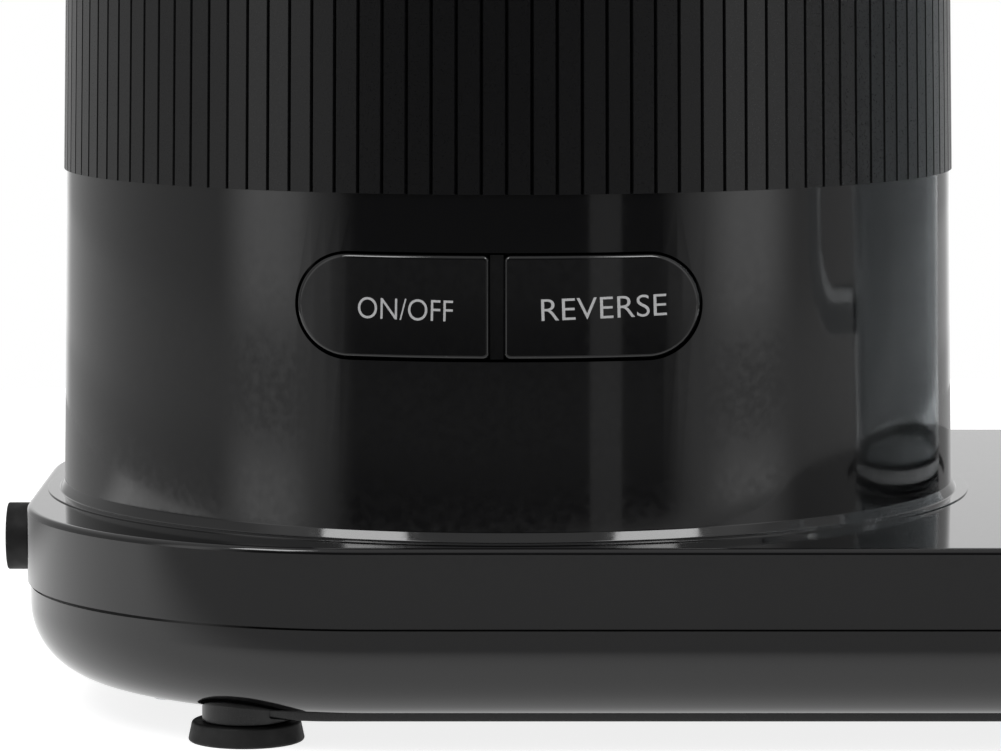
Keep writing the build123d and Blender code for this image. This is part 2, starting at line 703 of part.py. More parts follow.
def board_components():
    """Motor capacitor, relay, transformer and finned heat sink on the control board."""
    half = CAPACITOR_LENGTH / 2
    capacitor = lying(CAPACITOR_R, BOARD_X - half, BOARD_X + half, -BOARD_DEPTH * 0.3,
                      BOARD_Z + BOARD_THICK + CAPACITOR_R)
    relay = on_board(-BOARD_LENGTH * 0.2, 0, RELAY_SIDE, RELAY_SIDE * 0.8, RELAY_HEIGHT)
    transformer = on_board(BOARD_LENGTH * 0.2, 0, TRANSFORMER_SIDE, TRANSFORMER_SIDE, RELAY_HEIGHT + 1)
    sink = on_board(0, BOARD_DEPTH * 0.34, SINK_LENGTH, SINK_DEPTH, 2)
    pitch = (SINK_LENGTH - SINK_FIN) / (SINK_FINS - 1)
    for i in range(SINK_FINS):
        x = pitch * (i - (SINK_FINS - 1) / 2)
        sink += on_board(x, BOARD_DEPTH * 0.34, SINK_FIN, SINK_DEPTH, SINK_HEIGHT)
    return Part() + [capacitor, relay, transformer, sink]


# Motor

def gearbox_screw_r():
    """Radius of the screw circle in the gearbox's flange."""
    return (GEARBOX_FLANGE_R + GEARBOX_R) / 2


def motor_bolt_holes():
    """Four through holes down the motor's length."""
    return around(4, disc(MOTOR_BOLT + 0.2, MOTOR_Z, GEARBOX_FLOOR_Z, MOTOR_BOLT_R), 45)


def end_bell(low, high, hub_low, hub_high, bearing_low, outer_face):
    """Cast end bell: a cup with a bearing hub in its end wall."""
    cup = disc(MOTOR_R, low, high) - disc(MOTOR_R - BELL_WALL, low, high)
    cup += disc(MOTOR_R, outer_face, outer_face + BELL_WALL)
    cup += disc(BEARING_R + BELL_WALL, hub_low, hub_high)
    cup -= disc(SHAFT_R + 1.5, hub_low, hub_high)
    cup -= disc(BEARING_R, bearing_low, bearing_low + BEARING_WIDTH)
    lugs = around(4, disc(3.6, low, high, MOTOR_BOLT_R), 45)
    return cup + lugs - motor_bolt_holes()


def motor_bell_lower():
    """Lower end bell, open towards the stator."""
    hub_high = MOTOR_Z + BELL_WALL + BEARING_WIDTH
    return end_bell(MOTOR_Z, STACK_Z, MOTOR_Z, hub_high, MOTOR_Z + BELL_WALL, MOTOR_Z)


def motor_bell_upper():
    """Upper end bell, bolted up against the gearbox plate."""
    stack_top = STACK_Z + STACK_HEIGHT
    hub_low = GEARBOX_Z - BELL_WALL - BEARING_WIDTH
    return end_bell(stack_top, GEARBOX_Z, hub_low, GEARBOX_Z, hub_low, GEARBOX_Z - BELL_WALL)


def motor_stator():
    """Laminated steel ring with the bolts' through holes."""
    return ring(MOTOR_R, ROTOR_R + AIR_GAP, STACK_Z, STACK_Z + STACK_HEIGHT) - motor_bolt_holes()


def motor_windings():
    """End turns of the copper windings, above and below the stator."""
    inner = ROTOR_R + AIR_GAP + 2
    outer = MOTOR_BOLT_R - 4
    depth = BELL_HEIGHT - BELL_WALL - 3
    turns = Part()
    for low in (STACK_Z - depth, STACK_Z + STACK_HEIGHT):
        turns += ring(outer, inner, low, low + depth)
    return turns


def motor_bearings():
    """Ball bearings in the two end bells."""
    bearings = Part()
    for low in (MOTOR_Z + BELL_WALL, GEARBOX_Z - BELL_WALL - BEARING_WIDTH):
        bearings += ring(BEARING_R, SHAFT_R + RUNNING_FIT, low, low + BEARING_WIDTH)
    return bearings


def motor_bolts():
    """Four long bolts that hang the motor from the gearbox plate."""
    bolt = disc(1.75 * MOTOR_BOLT, MOTOR_Z - FAN_GAP + 1, MOTOR_Z, MOTOR_BOLT_R)
    bolt += disc(MOTOR_BOLT, MOTOR_Z, GEARBOX_FLOOR_Z, MOTOR_BOLT_R)
    return around(4, bolt, 45)


def rotor_core():
    """Laminated rotor body on the shaft."""
    return ring(ROTOR_R, SHAFT_R, STACK_Z, STACK_Z + STACK_HEIGHT)


def rotor_shaft():
    """Motor shaft with the first pinion cut on its upper end."""
    shaft = disc(SHAFT_R, MOTOR_Z - FAN_GAP - FAN_HEIGHT - 1.5, STAGE1_Z + FACE1 + 1)
    pinion = gear(PINION_TEETH, MODULE1, pinion_shift(PINION_TEETH), STAGE1_Z, FACE1 + 1)
    return shaft + Rot(0, 0, pinion_phase()) * pinion


def cooling_fan():
    """Moulded fan under the motor: a disc with radial blades."""
    top = MOTOR_Z - FAN_GAP
    fan = disc(FAN_R, top - FAN_DISC, top) + disc(SHAFT_R + 3, top - FAN_HEIGHT, top)
    blade = block(SHAFT_R + 2, FAN_R, -FAN_BLADE / 2, FAN_BLADE / 2, top - FAN_HEIGHT, top)
    fan += around(FAN_BLADES, blade)
    return fan - disc(SHAFT_R, top - FAN_HEIGHT, top)


# Gear train

def involute(angle):
    """Involute function."""
    return tan(angle) - angle


def gear(teeth, module, shift, low, width):
    """Involute spur gear with a tooth centred on +X."""
    pitch_r = teeth * module / 2
    base_r = pitch_r * cos(PRESSURE)
    root_r = pitch_r - module * (1.25 - shift)
    tip_r = pitch_r + module * (1 + shift)
    half_pitch = (pi / 2 + 2 * shift * tan(PRESSURE)) / teeth - BACKLASH / (2 * pitch_r)
    start_r = max(base_r, root_r)

    def flank(radius, tooth, side):
        half = half_pitch + involute(PRESSURE) - involute(acos(min(1.0, base_r / radius)))
        angle = 2 * pi * tooth / teeth + side * half
        return radius * cos(angle), radius * sin(angle)

    def root(tooth, side):
        x, y = flank(start_r, tooth, side)
        scale = root_r / start_r
        return x * scale, y * scale

    edges = []
    middle_r = (start_r + tip_r) / 2
    for tooth in range(teeth):
        rising = [flank(r, tooth, -1) for r in (start_r, middle_r, tip_r)]
        falling = [flank(r, tooth, 1) for r in (tip_r, middle_r, start_r)]
        edges += [ThreePointArc(*rising), Line(rising[-1], falling[0]), ThreePointArc(*falling)]
        if start_r > root_r:
            edges += [Line(root(tooth, -1), rising[0]), Line(falling[-1], root(tooth, 1))]
        edges.append(Line(root(tooth, 1), root(tooth + 1, -1)))
    return extrude(Pos(0, 0, low) * make_face(edges), width)


def bearing_angle(start, end):
    """Direction from one axis to another, in degrees."""
    return degrees(atan2(end[1] - start[1], end[0] - start[0]))


def meshed(wheel_teeth, pinion_teeth, toward_wheel):
    """Turn of a pinion that puts a space where the wheel's tooth on their centre line is."""
    return toward_wheel + 180 / pinion_teeth


def pinion_phase():
    """Rest turn of the motor's pinion."""
    return meshed(WHEEL1_TEETH, PINION_TEETH, bearing_angle((0, 0), first_axis()))


def first_reduction_gear():
    """Compound gear: the first wheel with the second stage's pinion on top."""
    x, y = first_axis()
    to_motor = bearing_angle(first_axis(), (0, 0))
    to_second = bearing_angle(first_axis(), second_axis())
    wheel = Rot(0, 0, to_motor) * gear(WHEEL1_TEETH, MODULE1, 0, STAGE1_Z, FACE1)
    turn = meshed(WHEEL2_TEETH, MIDDLE_TEETH, to_second)
    shift = pinion_shift(MIDDLE_TEETH)
    pinion = gear(MIDDLE_TEETH, MODULE2, shift, STAGE1_Z + FACE1, FACE2 + GEAR_GAP + 0.8)
    body = wheel + Rot(0, 0, turn) * pinion
    return Pos(x, y, 0) * (body - disc(PIN_R + RUNNING_FIT, STAGE1_Z, STAGE3_Z))


def second_reduction_gear():
    """Compound gear: the second wheel with the last stage's pinion on top."""
    x, y = second_axis()
    to_first = bearing_angle(second_axis(), first_axis())
    to_output = bearing_angle(second_axis(), (0, 0))
    wheel = Rot(0, 0, to_first) * gear(WHEEL2_TEETH, MODULE2, 0, STAGE2_Z, FACE2)
    turn = meshed(WHEEL3_TEETH, LAST_TEETH, to_output)
    shift = pinion_shift(LAST_TEETH)
    pinion = gear(LAST_TEETH, MODULE3, shift, STAGE2_Z + FACE2, FACE3 + GEAR_GAP + 2)
    body = wheel + Rot(0, 0, turn) * pinion
    return Pos(x, y, 0) * (body - disc(PIN_R + RUNNING_FIT, STAGE2_Z, GEARBOX_TOP_Z))


def output_gear():
    """Last wheel, pinned on the output shaft."""
    to_second = bearing_angle((0, 0), second_axis())
    wheel = Rot(0, 0, to_second) * gear(WHEEL3_TEETH, MODULE3, 0, STAGE3_Z, FACE3)
    return wheel - disc(OUTPUT_R, STAGE3_Z, STAGE3_Z + FACE3)


def output_shaft():
    """Steel output shaft with a hexagonal drive end."""
    shaft = disc(OUTPUT_R, STAGE3_Z, SHAFT_TOP_Z - HEX_LENGTH)
    hexagon = RegularPolygon(HEX_ACROSS / 2, 6, major_radius=False)
    return shaft + extrude(Pos(0, 0, SHAFT_TOP_Z - HEX_LENGTH) * hexagon, HEX_LENGTH)


def gear_pins():
    """Steel pins that the two compound gears turn on."""
    first = disc(PIN_R, GEARBOX_Z, STAGE3_Z - 0.5, *first_axis())
    second = disc(PIN_R, GEARBOX_Z, GEARBOX_TOP_Z - GEARBOX_WALL, *second_axis())
    return Part() + [first, second]


def gearbox_plate():
    """Floor of the gearbox, resting on the tower's inner ledge."""
    plate = disc(GEARBOX_FLANGE_R, GEARBOX_Z, GEARBOX_FLOOR_Z)
    plate -= disc(BEARING_R - 2, GEARBOX_Z, GEARBOX_FLOOR_Z)
    plate -= [disc(PIN_R, GEARBOX_Z, GEARBOX_FLOOR_Z, *axis) for axis in (first_axis(), second_axis())]
    plate -= around(4, disc(MOTOR_BOLT, GEARBOX_Z, GEARBOX_FLOOR_Z, MOTOR_BOLT_R), 45)
    return plate - around(4, disc(SCREW_R, GEARBOX_Z, GEARBOX_FLOOR_Z, gearbox_screw_r()), 45)


def gearbox_cover():
    """Cast cover over the gears, with the output hub and four bosses for the top cover."""
    top = GEARBOX_TOP_Z
    flange_z = GEARBOX_FLOOR_Z + GEARBOX_FLANGE_THICK
    cover = turned([
        (OUTPUT_BEARING_R, GEARBOX_CEILING_Z),
        (GEARBOX_R - GEARBOX_WALL, GEARBOX_CEILING_Z),
        (GEARBOX_R - GEARBOX_WALL, GEARBOX_FLOOR_Z),
        (GEARBOX_FLANGE_R, GEARBOX_FLOOR_Z),
        (GEARBOX_FLANGE_R, flange_z),
        (GEARBOX_R, flange_z),
        (GEARBOX_R, top, GEARBOX_WALL),
        (OUTPUT_BEARING_R + OUTPUT_HUB_WALL, top),
        (OUTPUT_BEARING_R + OUTPUT_HUB_WALL, OUTPUT_HUB_Z),
        (OUTPUT_BEARING_R, OUTPUT_HUB_Z),
    ])
    boss_top = COVER_Z - COVER_THICK
    boss = disc(POST_R, top - 1, boss_top, COVER_BOSS_R) - disc(SCREW_R, top + 1, boss_top, COVER_BOSS_R)
    cover += around(4, boss, 45)
    cover -= disc(PIN_R, GEARBOX_CEILING_Z, top - GEARBOX_WALL, *second_axis())
    return cover - around(4, disc(SCREW_R, GEARBOX_FLOOR_Z, flange_z, gearbox_screw_r()), 45)


def gearbox_screws():
    """Four screws through the gearbox's flange into the tower's ledge."""
    top = GEARBOX_FLOOR_Z + GEARBOX_FLANGE_THICK
    screw = disc(SCREW_R, GEARBOX_Z - LEDGE_THICK + 1, top, gearbox_screw_r())
    return around(4, screw + disc(SCREW_R + 0.7, top, top + 2, gearbox_screw_r()), 45)


def output_bearings():
    """Two ball bearings, one above the other, in the gearbox's hub."""
    room = OUTPUT_HUB_Z - GEARBOX_CEILING_Z
    width = (room - 1) / 2
    one = ring(OUTPUT_BEARING_R, OUTPUT_R + RUNNING_FIT, GEARBOX_CEILING_Z, GEARBOX_CEILING_Z + width)
    return Part() + [one, Pos(0, 0, room - width) * one]


# Top cover

def top_cover():
    """Cover on the tower: a flat seat with a locating ring and a raised shaft hub."""
    top = COVER_Z
    edge_r = NECK_R + COVER_OVERHANG
    ring_in = SKIRT_R + FIT
    ring_out = ring_in + RING_WIDTH
    spigot_r = NECK_BORE_R - ARM_FIT
    bore_r = OUTPUT_R + 1.5
    cover = turned([
        (bore_r, HUB_Z),
        (HUB_R, HUB_Z),
        (HUB_R + 1, top),
        (ring_in, top),
        (ring_in, top + RING_HEIGHT),
        (ring_out, top + RING_HEIGHT, 1),
        (ring_out, top),
        (edge_r, top, min(COVER_EDGE_R, 0.8 * (edge_r - ring_out))),
        (edge_r, SLEEVE_TOP_Z),
        (spigot_r, SLEEVE_TOP_Z),
        (spigot_r, SLEEVE_TOP_Z - COVER_SPIGOT),
        (spigot_r - WALL, SLEEVE_TOP_Z - COVER_SPIGOT),
        (spigot_r - WALL, top - COVER_THICK),
        (HUB_R - HUB_WALL, top - COVER_THICK),
        (HUB_R - HUB_WALL, HUB_Z - HUB_ROOF),
        (bore_r, HUB_Z - HUB_ROOF),
    ])
    cover -= around(4, disc(SCREW_R, top - COVER_THICK, top, COVER_BOSS_R), 45)
    return cover - around(4, disc(SCREW_HEAD_R + ARM_FIT, top - SCREW_HEAD, top, COVER_BOSS_R), 45)


def cover_screws():
    """Four screws through the top cover into the gearbox's bosses."""
    screw = disc(SCREW_HEAD_R, COVER_Z - SCREW_HEAD, COVER_Z, COVER_BOSS_R)
    low = COVER_Z - COVER_THICK - SCREW_GRIP
    return around(4, screw + disc(SCREW_R, low, COVER_Z - SCREW_HEAD, COVER_BOSS_R), 45)


def shaft_seal():
    """Rubber ring under the hub that keeps juice out of the gearbox."""
    top = HUB_Z - HUB_ROOF
    return ring(HUB_R - HUB_WALL, OUTPUT_R + RUNNING_FIT, top - 5, top)


# Bowl: four nodes that are moulded as one

def bowl():
    """Clear conical wall of the juicing bowl, with a thick rim and the spout's hole."""
    foot_r = BOWL_BOTTOM_R + BOWL_WALL
    wall = turned([
        (BOWL_BOTTOM_R, FLOOR_Z),
        (BOWL_TOP_R, RIM_Z),
        (RIM_R, RIM_Z),
        (RIM_R, RIM_Z - RIM_HEIGHT),
        (BOWL_TOP_R + BOWL_WALL, RIM_Z - RIM_HEIGHT - BOWL_WALL),
        (foot_r, FLOOR_Z + 4, BOWL_WALL),
        (SKIRT_R - 1, FLOOR_Z),
    ])
    return wall - lying(SPOUT_BORE_R, 0, RIM_R, 0, SPOUT_Z)


def bowl_floor():
    """Floor of the bowl with its hub, and the skirt that stands on the tower's cover."""
    floor_low = FLOOR_Z - BOWL_FLOOR
    hub_r = SEAL_R + BOWL_HUB_WALL
    body = turned([
        (SEAL_R, FLOOR_Z),
        (SKIRT_R, FLOOR_Z, SKIRT_WALL),
        (SKIRT_R, SEAT_Z),
        (SKIRT_R - SKIRT_WALL, SEAT_Z),
        (SKIRT_R - SKIRT_WALL, floor_low),
        (hub_r, floor_low),
        (hub_r, BOWL_HUB_Z),
        (SEAL_R, BOWL_HUB_Z),
    ])
    body -= duct_block(DUCT_WALL, DUCT_Z, DUCT_TOP_Z)
    return body - pulp_hole()


def duct_block(grow, low, high):
    """Straight channel under the bowl's floor, out to the machine's left side."""
    half = DUCT_WIDTH / 2 + grow
    return block(-half, half, AUGER_NECK_R + 5 - grow, DUCT_END, low, high)


def pulp_hole():
    """Hole in the floors at the foot of the auger, down into the duct."""
    low = DUCT_TOP_Z - DUCT_ROOF
    edge_r = SCREEN_BOTTOM_R - 1.6
    sector = block(-DUCT_WIDTH / 2, DUCT_WIDTH / 2, 0, edge_r, low, SCREEN_Z)
    return sector & ring(edge_r, AUGER_NECK_R + 5, low, SCREEN_Z)


def pulp_duct():
    """Duct that carries the pressed pulp from the auger's foot out to the left side."""
    duct = duct_block(DUCT_WALL, DUCT_Z, DUCT_TOP_Z)
    duct -= duct_block(0, DUCT_Z + DUCT_WALL, DUCT_TOP_Z - DUCT_ROOF)
    return duct - pulp_hole()


def juice_spout():
    """Round spout out of the bowl's foot, with a flange and the cap's hinge ears."""
    spout = lying(SPOUT_BORE_R + SPOUT_WALL, BOWL_BOTTOM_R, SPOUT_END, 0, SPOUT_Z)
    spout += lying(SPOUT_FLANGE_R, SPOUT_END - SPOUT_FLANGE, SPOUT_END, 0, SPOUT_Z)
    spout += hinge_ears()
    spout -= lying(SPOUT_BORE_R, BOWL_BOTTOM_R, SPOUT_END, 0, SPOUT_Z)
    inside = turned([(0, FLOOR_Z - BOWL_FLOOR), (BOWL_BOTTOM_R, FLOOR_Z), (BOWL_TOP_R, RIM_Z), (0, RIM_Z)])
    return spout - inside - bowl() - bowl_floor()


def hinge_ears():
    """Two ears over the spout's end that hold the cap's pin."""
    inner = KNUCKLE_WIDTH / 2 + FIT
    ears = Part()
    for side in (-1, 1):
        low, high = sorted((side * inner, side * (inner + EAR_WIDTH)))
        ear = block(SPOUT_END - SPOUT_FLANGE, SPOUT_END, low, high, SPOUT_Z + SPOUT_BORE_R + 1, HINGE_Z)
        ear += Pos(PIN_X, (low + high) / 2, HINGE_Z) * Rot(90, 0, 0) * Cylinder(KNUCKLE_R, EAR_WIDTH)
        ears += ear
    return ears - cap_hinge_pin()


def bowl_seal():
    """Silicone sleeve in the bowl's hub, round the drive shaft."""
    return ring(SEAL_R, OUTPUT_R + 0.08, BOWL_HUB_Z, FLOOR_Z - 1)


def rim_gasket():
    """Silicone ring on the bowl's rim."""
    return ring(RIM_R - 1, BOWL_TOP_R + 1, RIM_Z, RIM_Z + GASKET_THICK)


def cap_hinge_pin():
    """Steel pin through the ears and the cap's knuckle."""
    length = KNUCKLE_WIDTH + 2 * FIT + 2 * EAR_WIDTH
    return Pos(PIN_X, 0, HINGE_Z) * Rot(90, 0, 0) * Cylinder(HINGE_PIN_R, length)


def juice_cap():
    """Flip cap over the juice spout, hung on a knuckle."""
    low = SPOUT_END + FIT
    high = low + CAP_THICK
    half = KNUCKLE_WIDTH / 2
    knuckle = Pos(PIN_X, 0, HINGE_Z) * Rot(90, 0, 0)
    cap = lying(SPOUT_FLANGE_R, low, high, 0, SPOUT_Z)
    cap -= lying(SPOUT_BORE_R + 1, low, low + PLUG_SEAT, 0, SPOUT_Z)
    cap += block(low, high, -half, half, SPOUT_Z + SPOUT_BORE_R + 1, HINGE_Z)
    cap += block(PIN_X, high, -half, half, HINGE_Z, HINGE_Z + KNUCKLE_R)
    cap += knuckle * Cylinder(KNUCKLE_R, KNUCKLE_WIDTH)
    return cap - knuckle * Cylinder(HINGE_PIN_R + RUNNING_FIT, KNUCKLE_WIDTH)


def juice_cap_seal():
    """Silicone plug set in the cap, reaching just into the spout."""
    low = SPOUT_END + FIT
    plug = lying(SPOUT_BORE_R + 1, low, low + PLUG_SEAT, 0, SPOUT_Z)
    return plug + lying(SPOUT_BORE_R - PLUG_PLAY, low - PLUG_REACH, low, 0, SPOUT_Z)


# Strainer and auger

def screen_r(z):
    """Outer radius of the conical screen at a height."""
    return SCREEN_BOTTOM_R + (SCREEN_TOP_R - SCREEN_BOTTOM_R) * (z - SCREEN_Z) / SCREEN_HEIGHT


def strainer_screen():
    """Steel screen: a thin cone with two rows of slots."""
    low, high = SCREEN_Z, SCREEN_TOP_Z
    screen = turned([
        (screen_r(low), low),
        (screen_r(high), high),
        (screen_r(high) - SCREEN_THICK, high),
        (screen_r(low) - SCREEN_THICK, low),
    ])
    length = (SCREEN_HEIGHT - 2 * SLOT_MARGIN - SLOT_BRIDGE) / 2
    slot = block(SCREEN_BOTTOM_R - 4, SCREEN_TOP_R + 4, -SLOT_WIDTH / 2, SLOT_WIDTH / 2, 0, length)
    row = around(SLOTS, slot)
    screen -= Pos(0, 0, low + SLOT_MARGIN) * row
    return screen - Pos(0, 0, high - SLOT_MARGIN - length) * Rot(0, 0, 180 / SLOTS) * row


def strainer_frame():
    """Moulded cage of the strainer: floor, foot ring, ribs and a top flange to the bowl's wall."""
    low, high = FLOOR_Z, SCREEN_TOP_Z
    foot_z = SCREEN_Z + 5
    cage = turned([
        (AUGER_NECK_R + 0.5, low),
        (SCREEN_BOTTOM_R + STRAINER_RING, low),
        (SCREEN_BOTTOM_R + STRAINER_RING, foot_z),
        (screen_r(foot_z), foot_z),
        (SCREEN_BOTTOM_R, SCREEN_Z),
        (SCREEN_BOTTOM_R - 1, SCREEN_Z),
        (SCREEN_BOTTOM_R - 1, low + STRAINER_FLOOR),
        (AUGER_NECK_R + 0.5, low + STRAINER_FLOOR),
    ])
    flange_r = BOWL_TOP_R - STRAINER_FIT
    cage += turned([
        (screen_r(high - 5), high - 5),
        (screen_r(high) + STRAINER_RING, high - 5),
        (screen_r(high) + STRAINER_RING, high - STRAINER_FLANGE),
        (flange_r, high - STRAINER_FLANGE),
        (flange_r, high),
        (screen_r(high), high),
    ])
    rib = outline([
        (screen_r(foot_z - 1), foot_z - 1),
        (screen_r(foot_z - 1) + STRAINER_RIB, foot_z - 1),
        (screen_r(high - 4) + STRAINER_RIB, high - 4),
        (screen_r(high - 4), high - 4),
    ])
    cage += around(STRAINER_RIBS, extrude(Plane.XZ * rib, 1.0, both=True))
    return cage - pulp_hole()


def auger_envelope():
    """Cone that the auger's flights run out to, just inside the screen."""
    inset = SCREEN_THICK + AUGER_CLEARANCE
    bottom_r = screen_r(SCREEN_Z) - inset - 1
    top_r = screen_r(AUGER_TOP_Z) - inset
    return turned([(0, AUGER_Z), (bottom_r, AUGER_Z), (top_r, AUGER_TOP_Z), (0, AUGER_TOP_Z)])


def on_circle(radius, angle):
    """Point on a circle about the tower's axis."""
    return radius * cos(angle), radius * sin(angle)


def auger():
    """Twin-start pressing screw: tapered core, helical flights and a hub for the drive sleeve."""
    foot_z = FLOOR_Z + AUGER_FLOOR_GAP
    pin_top = LID_Z - AUGER_PIN_GAP
    core = turned([
        (0, foot_z),
        (AUGER_NECK_R, foot_z),
        (AUGER_NECK_R, AUGER_Z),
        (AUGER_CORE_BOTTOM_R, AUGER_Z, 1.5),
        (AUGER_CORE_TOP_R, AUGER_TOP_Z, 4),
        (2 * AUGER_PIN_R, pin_top - AUGER_PIN_LENGTH),
        (AUGER_PIN_R, pin_top - AUGER_PIN_LENGTH),
        (AUGER_PIN_R, pin_top),
        (0, pin_top),
    ])
    near = AUGER_PIN_R / 2
    reach = SCREEN_TOP_R + 8
    outer = [on_circle(reach, share * FLIGHT_ANGLE) for share in (0, 0.5, 1)]
    inner = on_circle(near, FLIGHT_ANGLE)
    sector = make_face([
        Line((near, 0), outer[0]),
        ThreePointArc(*outer),
        Line(outer[2], inner),
        Line(inner, (near, 0)),
    ])
    climb = (0, 0, AUGER_TOP_Z - AUGER_Z)
    twist = Solid.extrude_linear_with_rotation(sector.faces()[0], (0, 0, 0), climb, -FLIGHT_TURN)
    flight = auger_envelope() & (Pos(0, 0, AUGER_Z) * twist)
    screw = core + around(AUGER_FLIGHTS, flight)
    return screw - disc(SLEEVE_END_R, FLOOR_Z, SHAFT_TOP_Z + 3)


def auger_drive_sleeve():
    """Steel sleeve with a hexagonal socket, moulded into the auger's foot."""
    foot_z = FLOOR_Z + AUGER_FLOOR_GAP
    sleeve = disc(SLEEVE_END_R, foot_z, SHAFT_TOP_Z + 3)
    socket = RegularPolygon(HEX_ACROSS / 2 + 0.15, 6, major_radius=False)
    return sleeve - extrude(Pos(0, 0, foot_z) * socket, SHAFT_TOP_Z + 1 - foot_z)


# Lid, tray and pusher

def hopper_lid():
    """Clear lid with a skirt over the bowl's rim and a bushing for the auger."""
    skirt_r = RIM_R + FIT
    top = LID_Z + LID_THICK
    lid = turned([
        (0, LID_Z),
        (skirt_r, LID_Z),
        (skirt_r, LID_Z - LID_SKIRT),
        (skirt_r + LID_WALL, LID_Z - LID_SKIRT),
        (skirt_r + LID_WALL, top, LID_THICK),
        (0, top),
    ])
    lid += disc(AUGER_PIN_R + BUSHING_WALL, LID_Z - BUSHING_DEPTH, LID_Z)
    lid -= disc(CHUTE_R, LID_Z, top, -CHUTE_X)
    return lid - disc(AUGER_PIN_R + RUNNING_FIT, LID_Z - BUSHING_DEPTH, LID_Z)


def feed_chute():
    """Round chute that stands on the lid over its hole."""
    return ring(CHUTE_R + CHUTE_WALL, CHUTE_R, LID_Z + LID_THICK, CHUTE_TOP_Z, -CHUTE_X)


def feed_tray():
    """Dished tray that clips over the chute's mouth."""
    collar_r = CHUTE_R + CHUTE_WALL
    seat_z = CHUTE_TOP_Z + TRAY_SEAT
    rim_z = CHUTE_TOP_Z + TRAY_DEPTH
    tray = turned([
        (collar_r, CHUTE_TOP_Z - TRAY_COLLAR),
        (collar_r + TRAY_WALL, CHUTE_TOP_Z - TRAY_COLLAR),
        (collar_r + TRAY_WALL, seat_z - TRAY_WALL, 3),
        (TRAY_RIM_R - 4, seat_z + 4, 6),
        (TRAY_RIM_R, rim_z),
        (TRAY_RIM_R - TRAY_WALL, rim_z),
        (TRAY_RIM_R - 4 - TRAY_WALL, seat_z + 4 + TRAY_WALL, 4),
        (collar_r, seat_z),
        (CHUTE_R, seat_z),
        (CHUTE_R, CHUTE_TOP_Z),
        (collar_r, CHUTE_TOP_Z),
    ])
    return Pos(-CHUTE_X, 0, 0) * tray


def pusher():
    """Hollow food pusher with a shoulder that stops on the tray."""
    shaft_r = CHUTE_R - PUSHER_GAP
    neck_r = shaft_r - 4
    low = STOP_Z - PUSHER_LENGTH
    body = turned([
        (shaft_r - PUSHER_WALL, low),
        (shaft_r, low),
        (shaft_r, STOP_Z),
        (CHUTE_R + PUSHER_STOP, STOP_Z),
        (CHUTE_R + PUSHER_STOP, STOP_Z + PUSHER_STOP, 1),
        (neck_r, STOP_Z + PUSHER_STOP + 2, 2),
        (neck_r, STOP_Z + PUSHER_NECK),
        (neck_r - PUSHER_WALL, STOP_Z + PUSHER_NECK),
        (neck_r - PUSHER_WALL, STOP_Z - 4),
        (shaft_r - PUSHER_WALL, STOP_Z - 7),
    ])
    return Pos(-CHUTE_X, 0, 0) * body


def pusher_knob():
    """Domed knob that closes the pusher's upper end."""
    low = STOP_Z + PUSHER_NECK
    plug_r = CHUTE_R - PUSHER_GAP - 4 - PUSHER_WALL - 0.1
    knob = turned([
        (0, low - KNOB_PLUG),
        (plug_r, low - KNOB_PLUG),
        (plug_r, low),
        (KNOB_R - 3, low, 2),
        (KNOB_R, low + KNOB_HEIGHT / 2, 3),
        (KNOB_R - 4, low + KNOB_HEIGHT, 4),
        (0, low + KNOB_HEIGHT),
    ])
    return Pos(-CHUTE_X, 0, 0) * knob


# Jug

def jug_outline(radius, flare, low, high, edge):
    """Half outline of a round cup with a rounded lower edge."""
    return [(0, low), (radius, low, edge), (radius + flare, high), (0, high)]


def pour_lip(grow, low, high):
    """Slanting cone that is drawn out of the jug's wall to pour over."""
    cone = Cone(0.1, LIP_REACH + grow, high - low)
    return Pos(JUG_TOP_R - 2, 0, (low + high) / 2) * cone


def juice_jug():
    """Clear jug with a pouring lip and a loop handle, standing in the deck's recess."""
    low = DECK_Z - RECESS_DEPTH + FIT
    high = low + JUG_HEIGHT
    lip_low = high - LIP_DROP
    jug = turned(jug_outline(JUG_BOTTOM_R, JUG_FLARE, low, high, 2)) + pour_lip(JUG_WALL, lip_low, high)
    handle_y = -JUG_TOP_R - HANDLE_REACH
    root_y = -JUG_BOTTOM_R + 0.5
    path = FilletPolyline(
        (0, root_y, high - HANDLE_TOP), (0, handle_y, high - HANDLE_TOP),
        (0, handle_y + 3, low + HANDLE_FOOT), (0, root_y, low + HANDLE_FOOT), radius=HANDLE_BEND)
    section = Plane(origin=path @ 0, z_dir=path % 0) * Ellipse(HANDLE_WIDTH / 2, HANDLE_THICK / 2)
    jug += sweep(section, path)
    inside_r = JUG_BOTTOM_R - JUG_WALL
    jug -= turned(jug_outline(inside_r, JUG_FLARE, low + JUG_FOOT + JUG_WALL, high, 2))
    jug -= pour_lip(0, lip_low + JUG_WALL, high)
    return Pos(JUG_X, 0, 0) * (jug - disc(JUG_BOTTOM_R - 6, low, low + JUG_FOOT))


# Every sub-part is written where it sits, moved so that the origin lies under the
# middle of the whole machine.

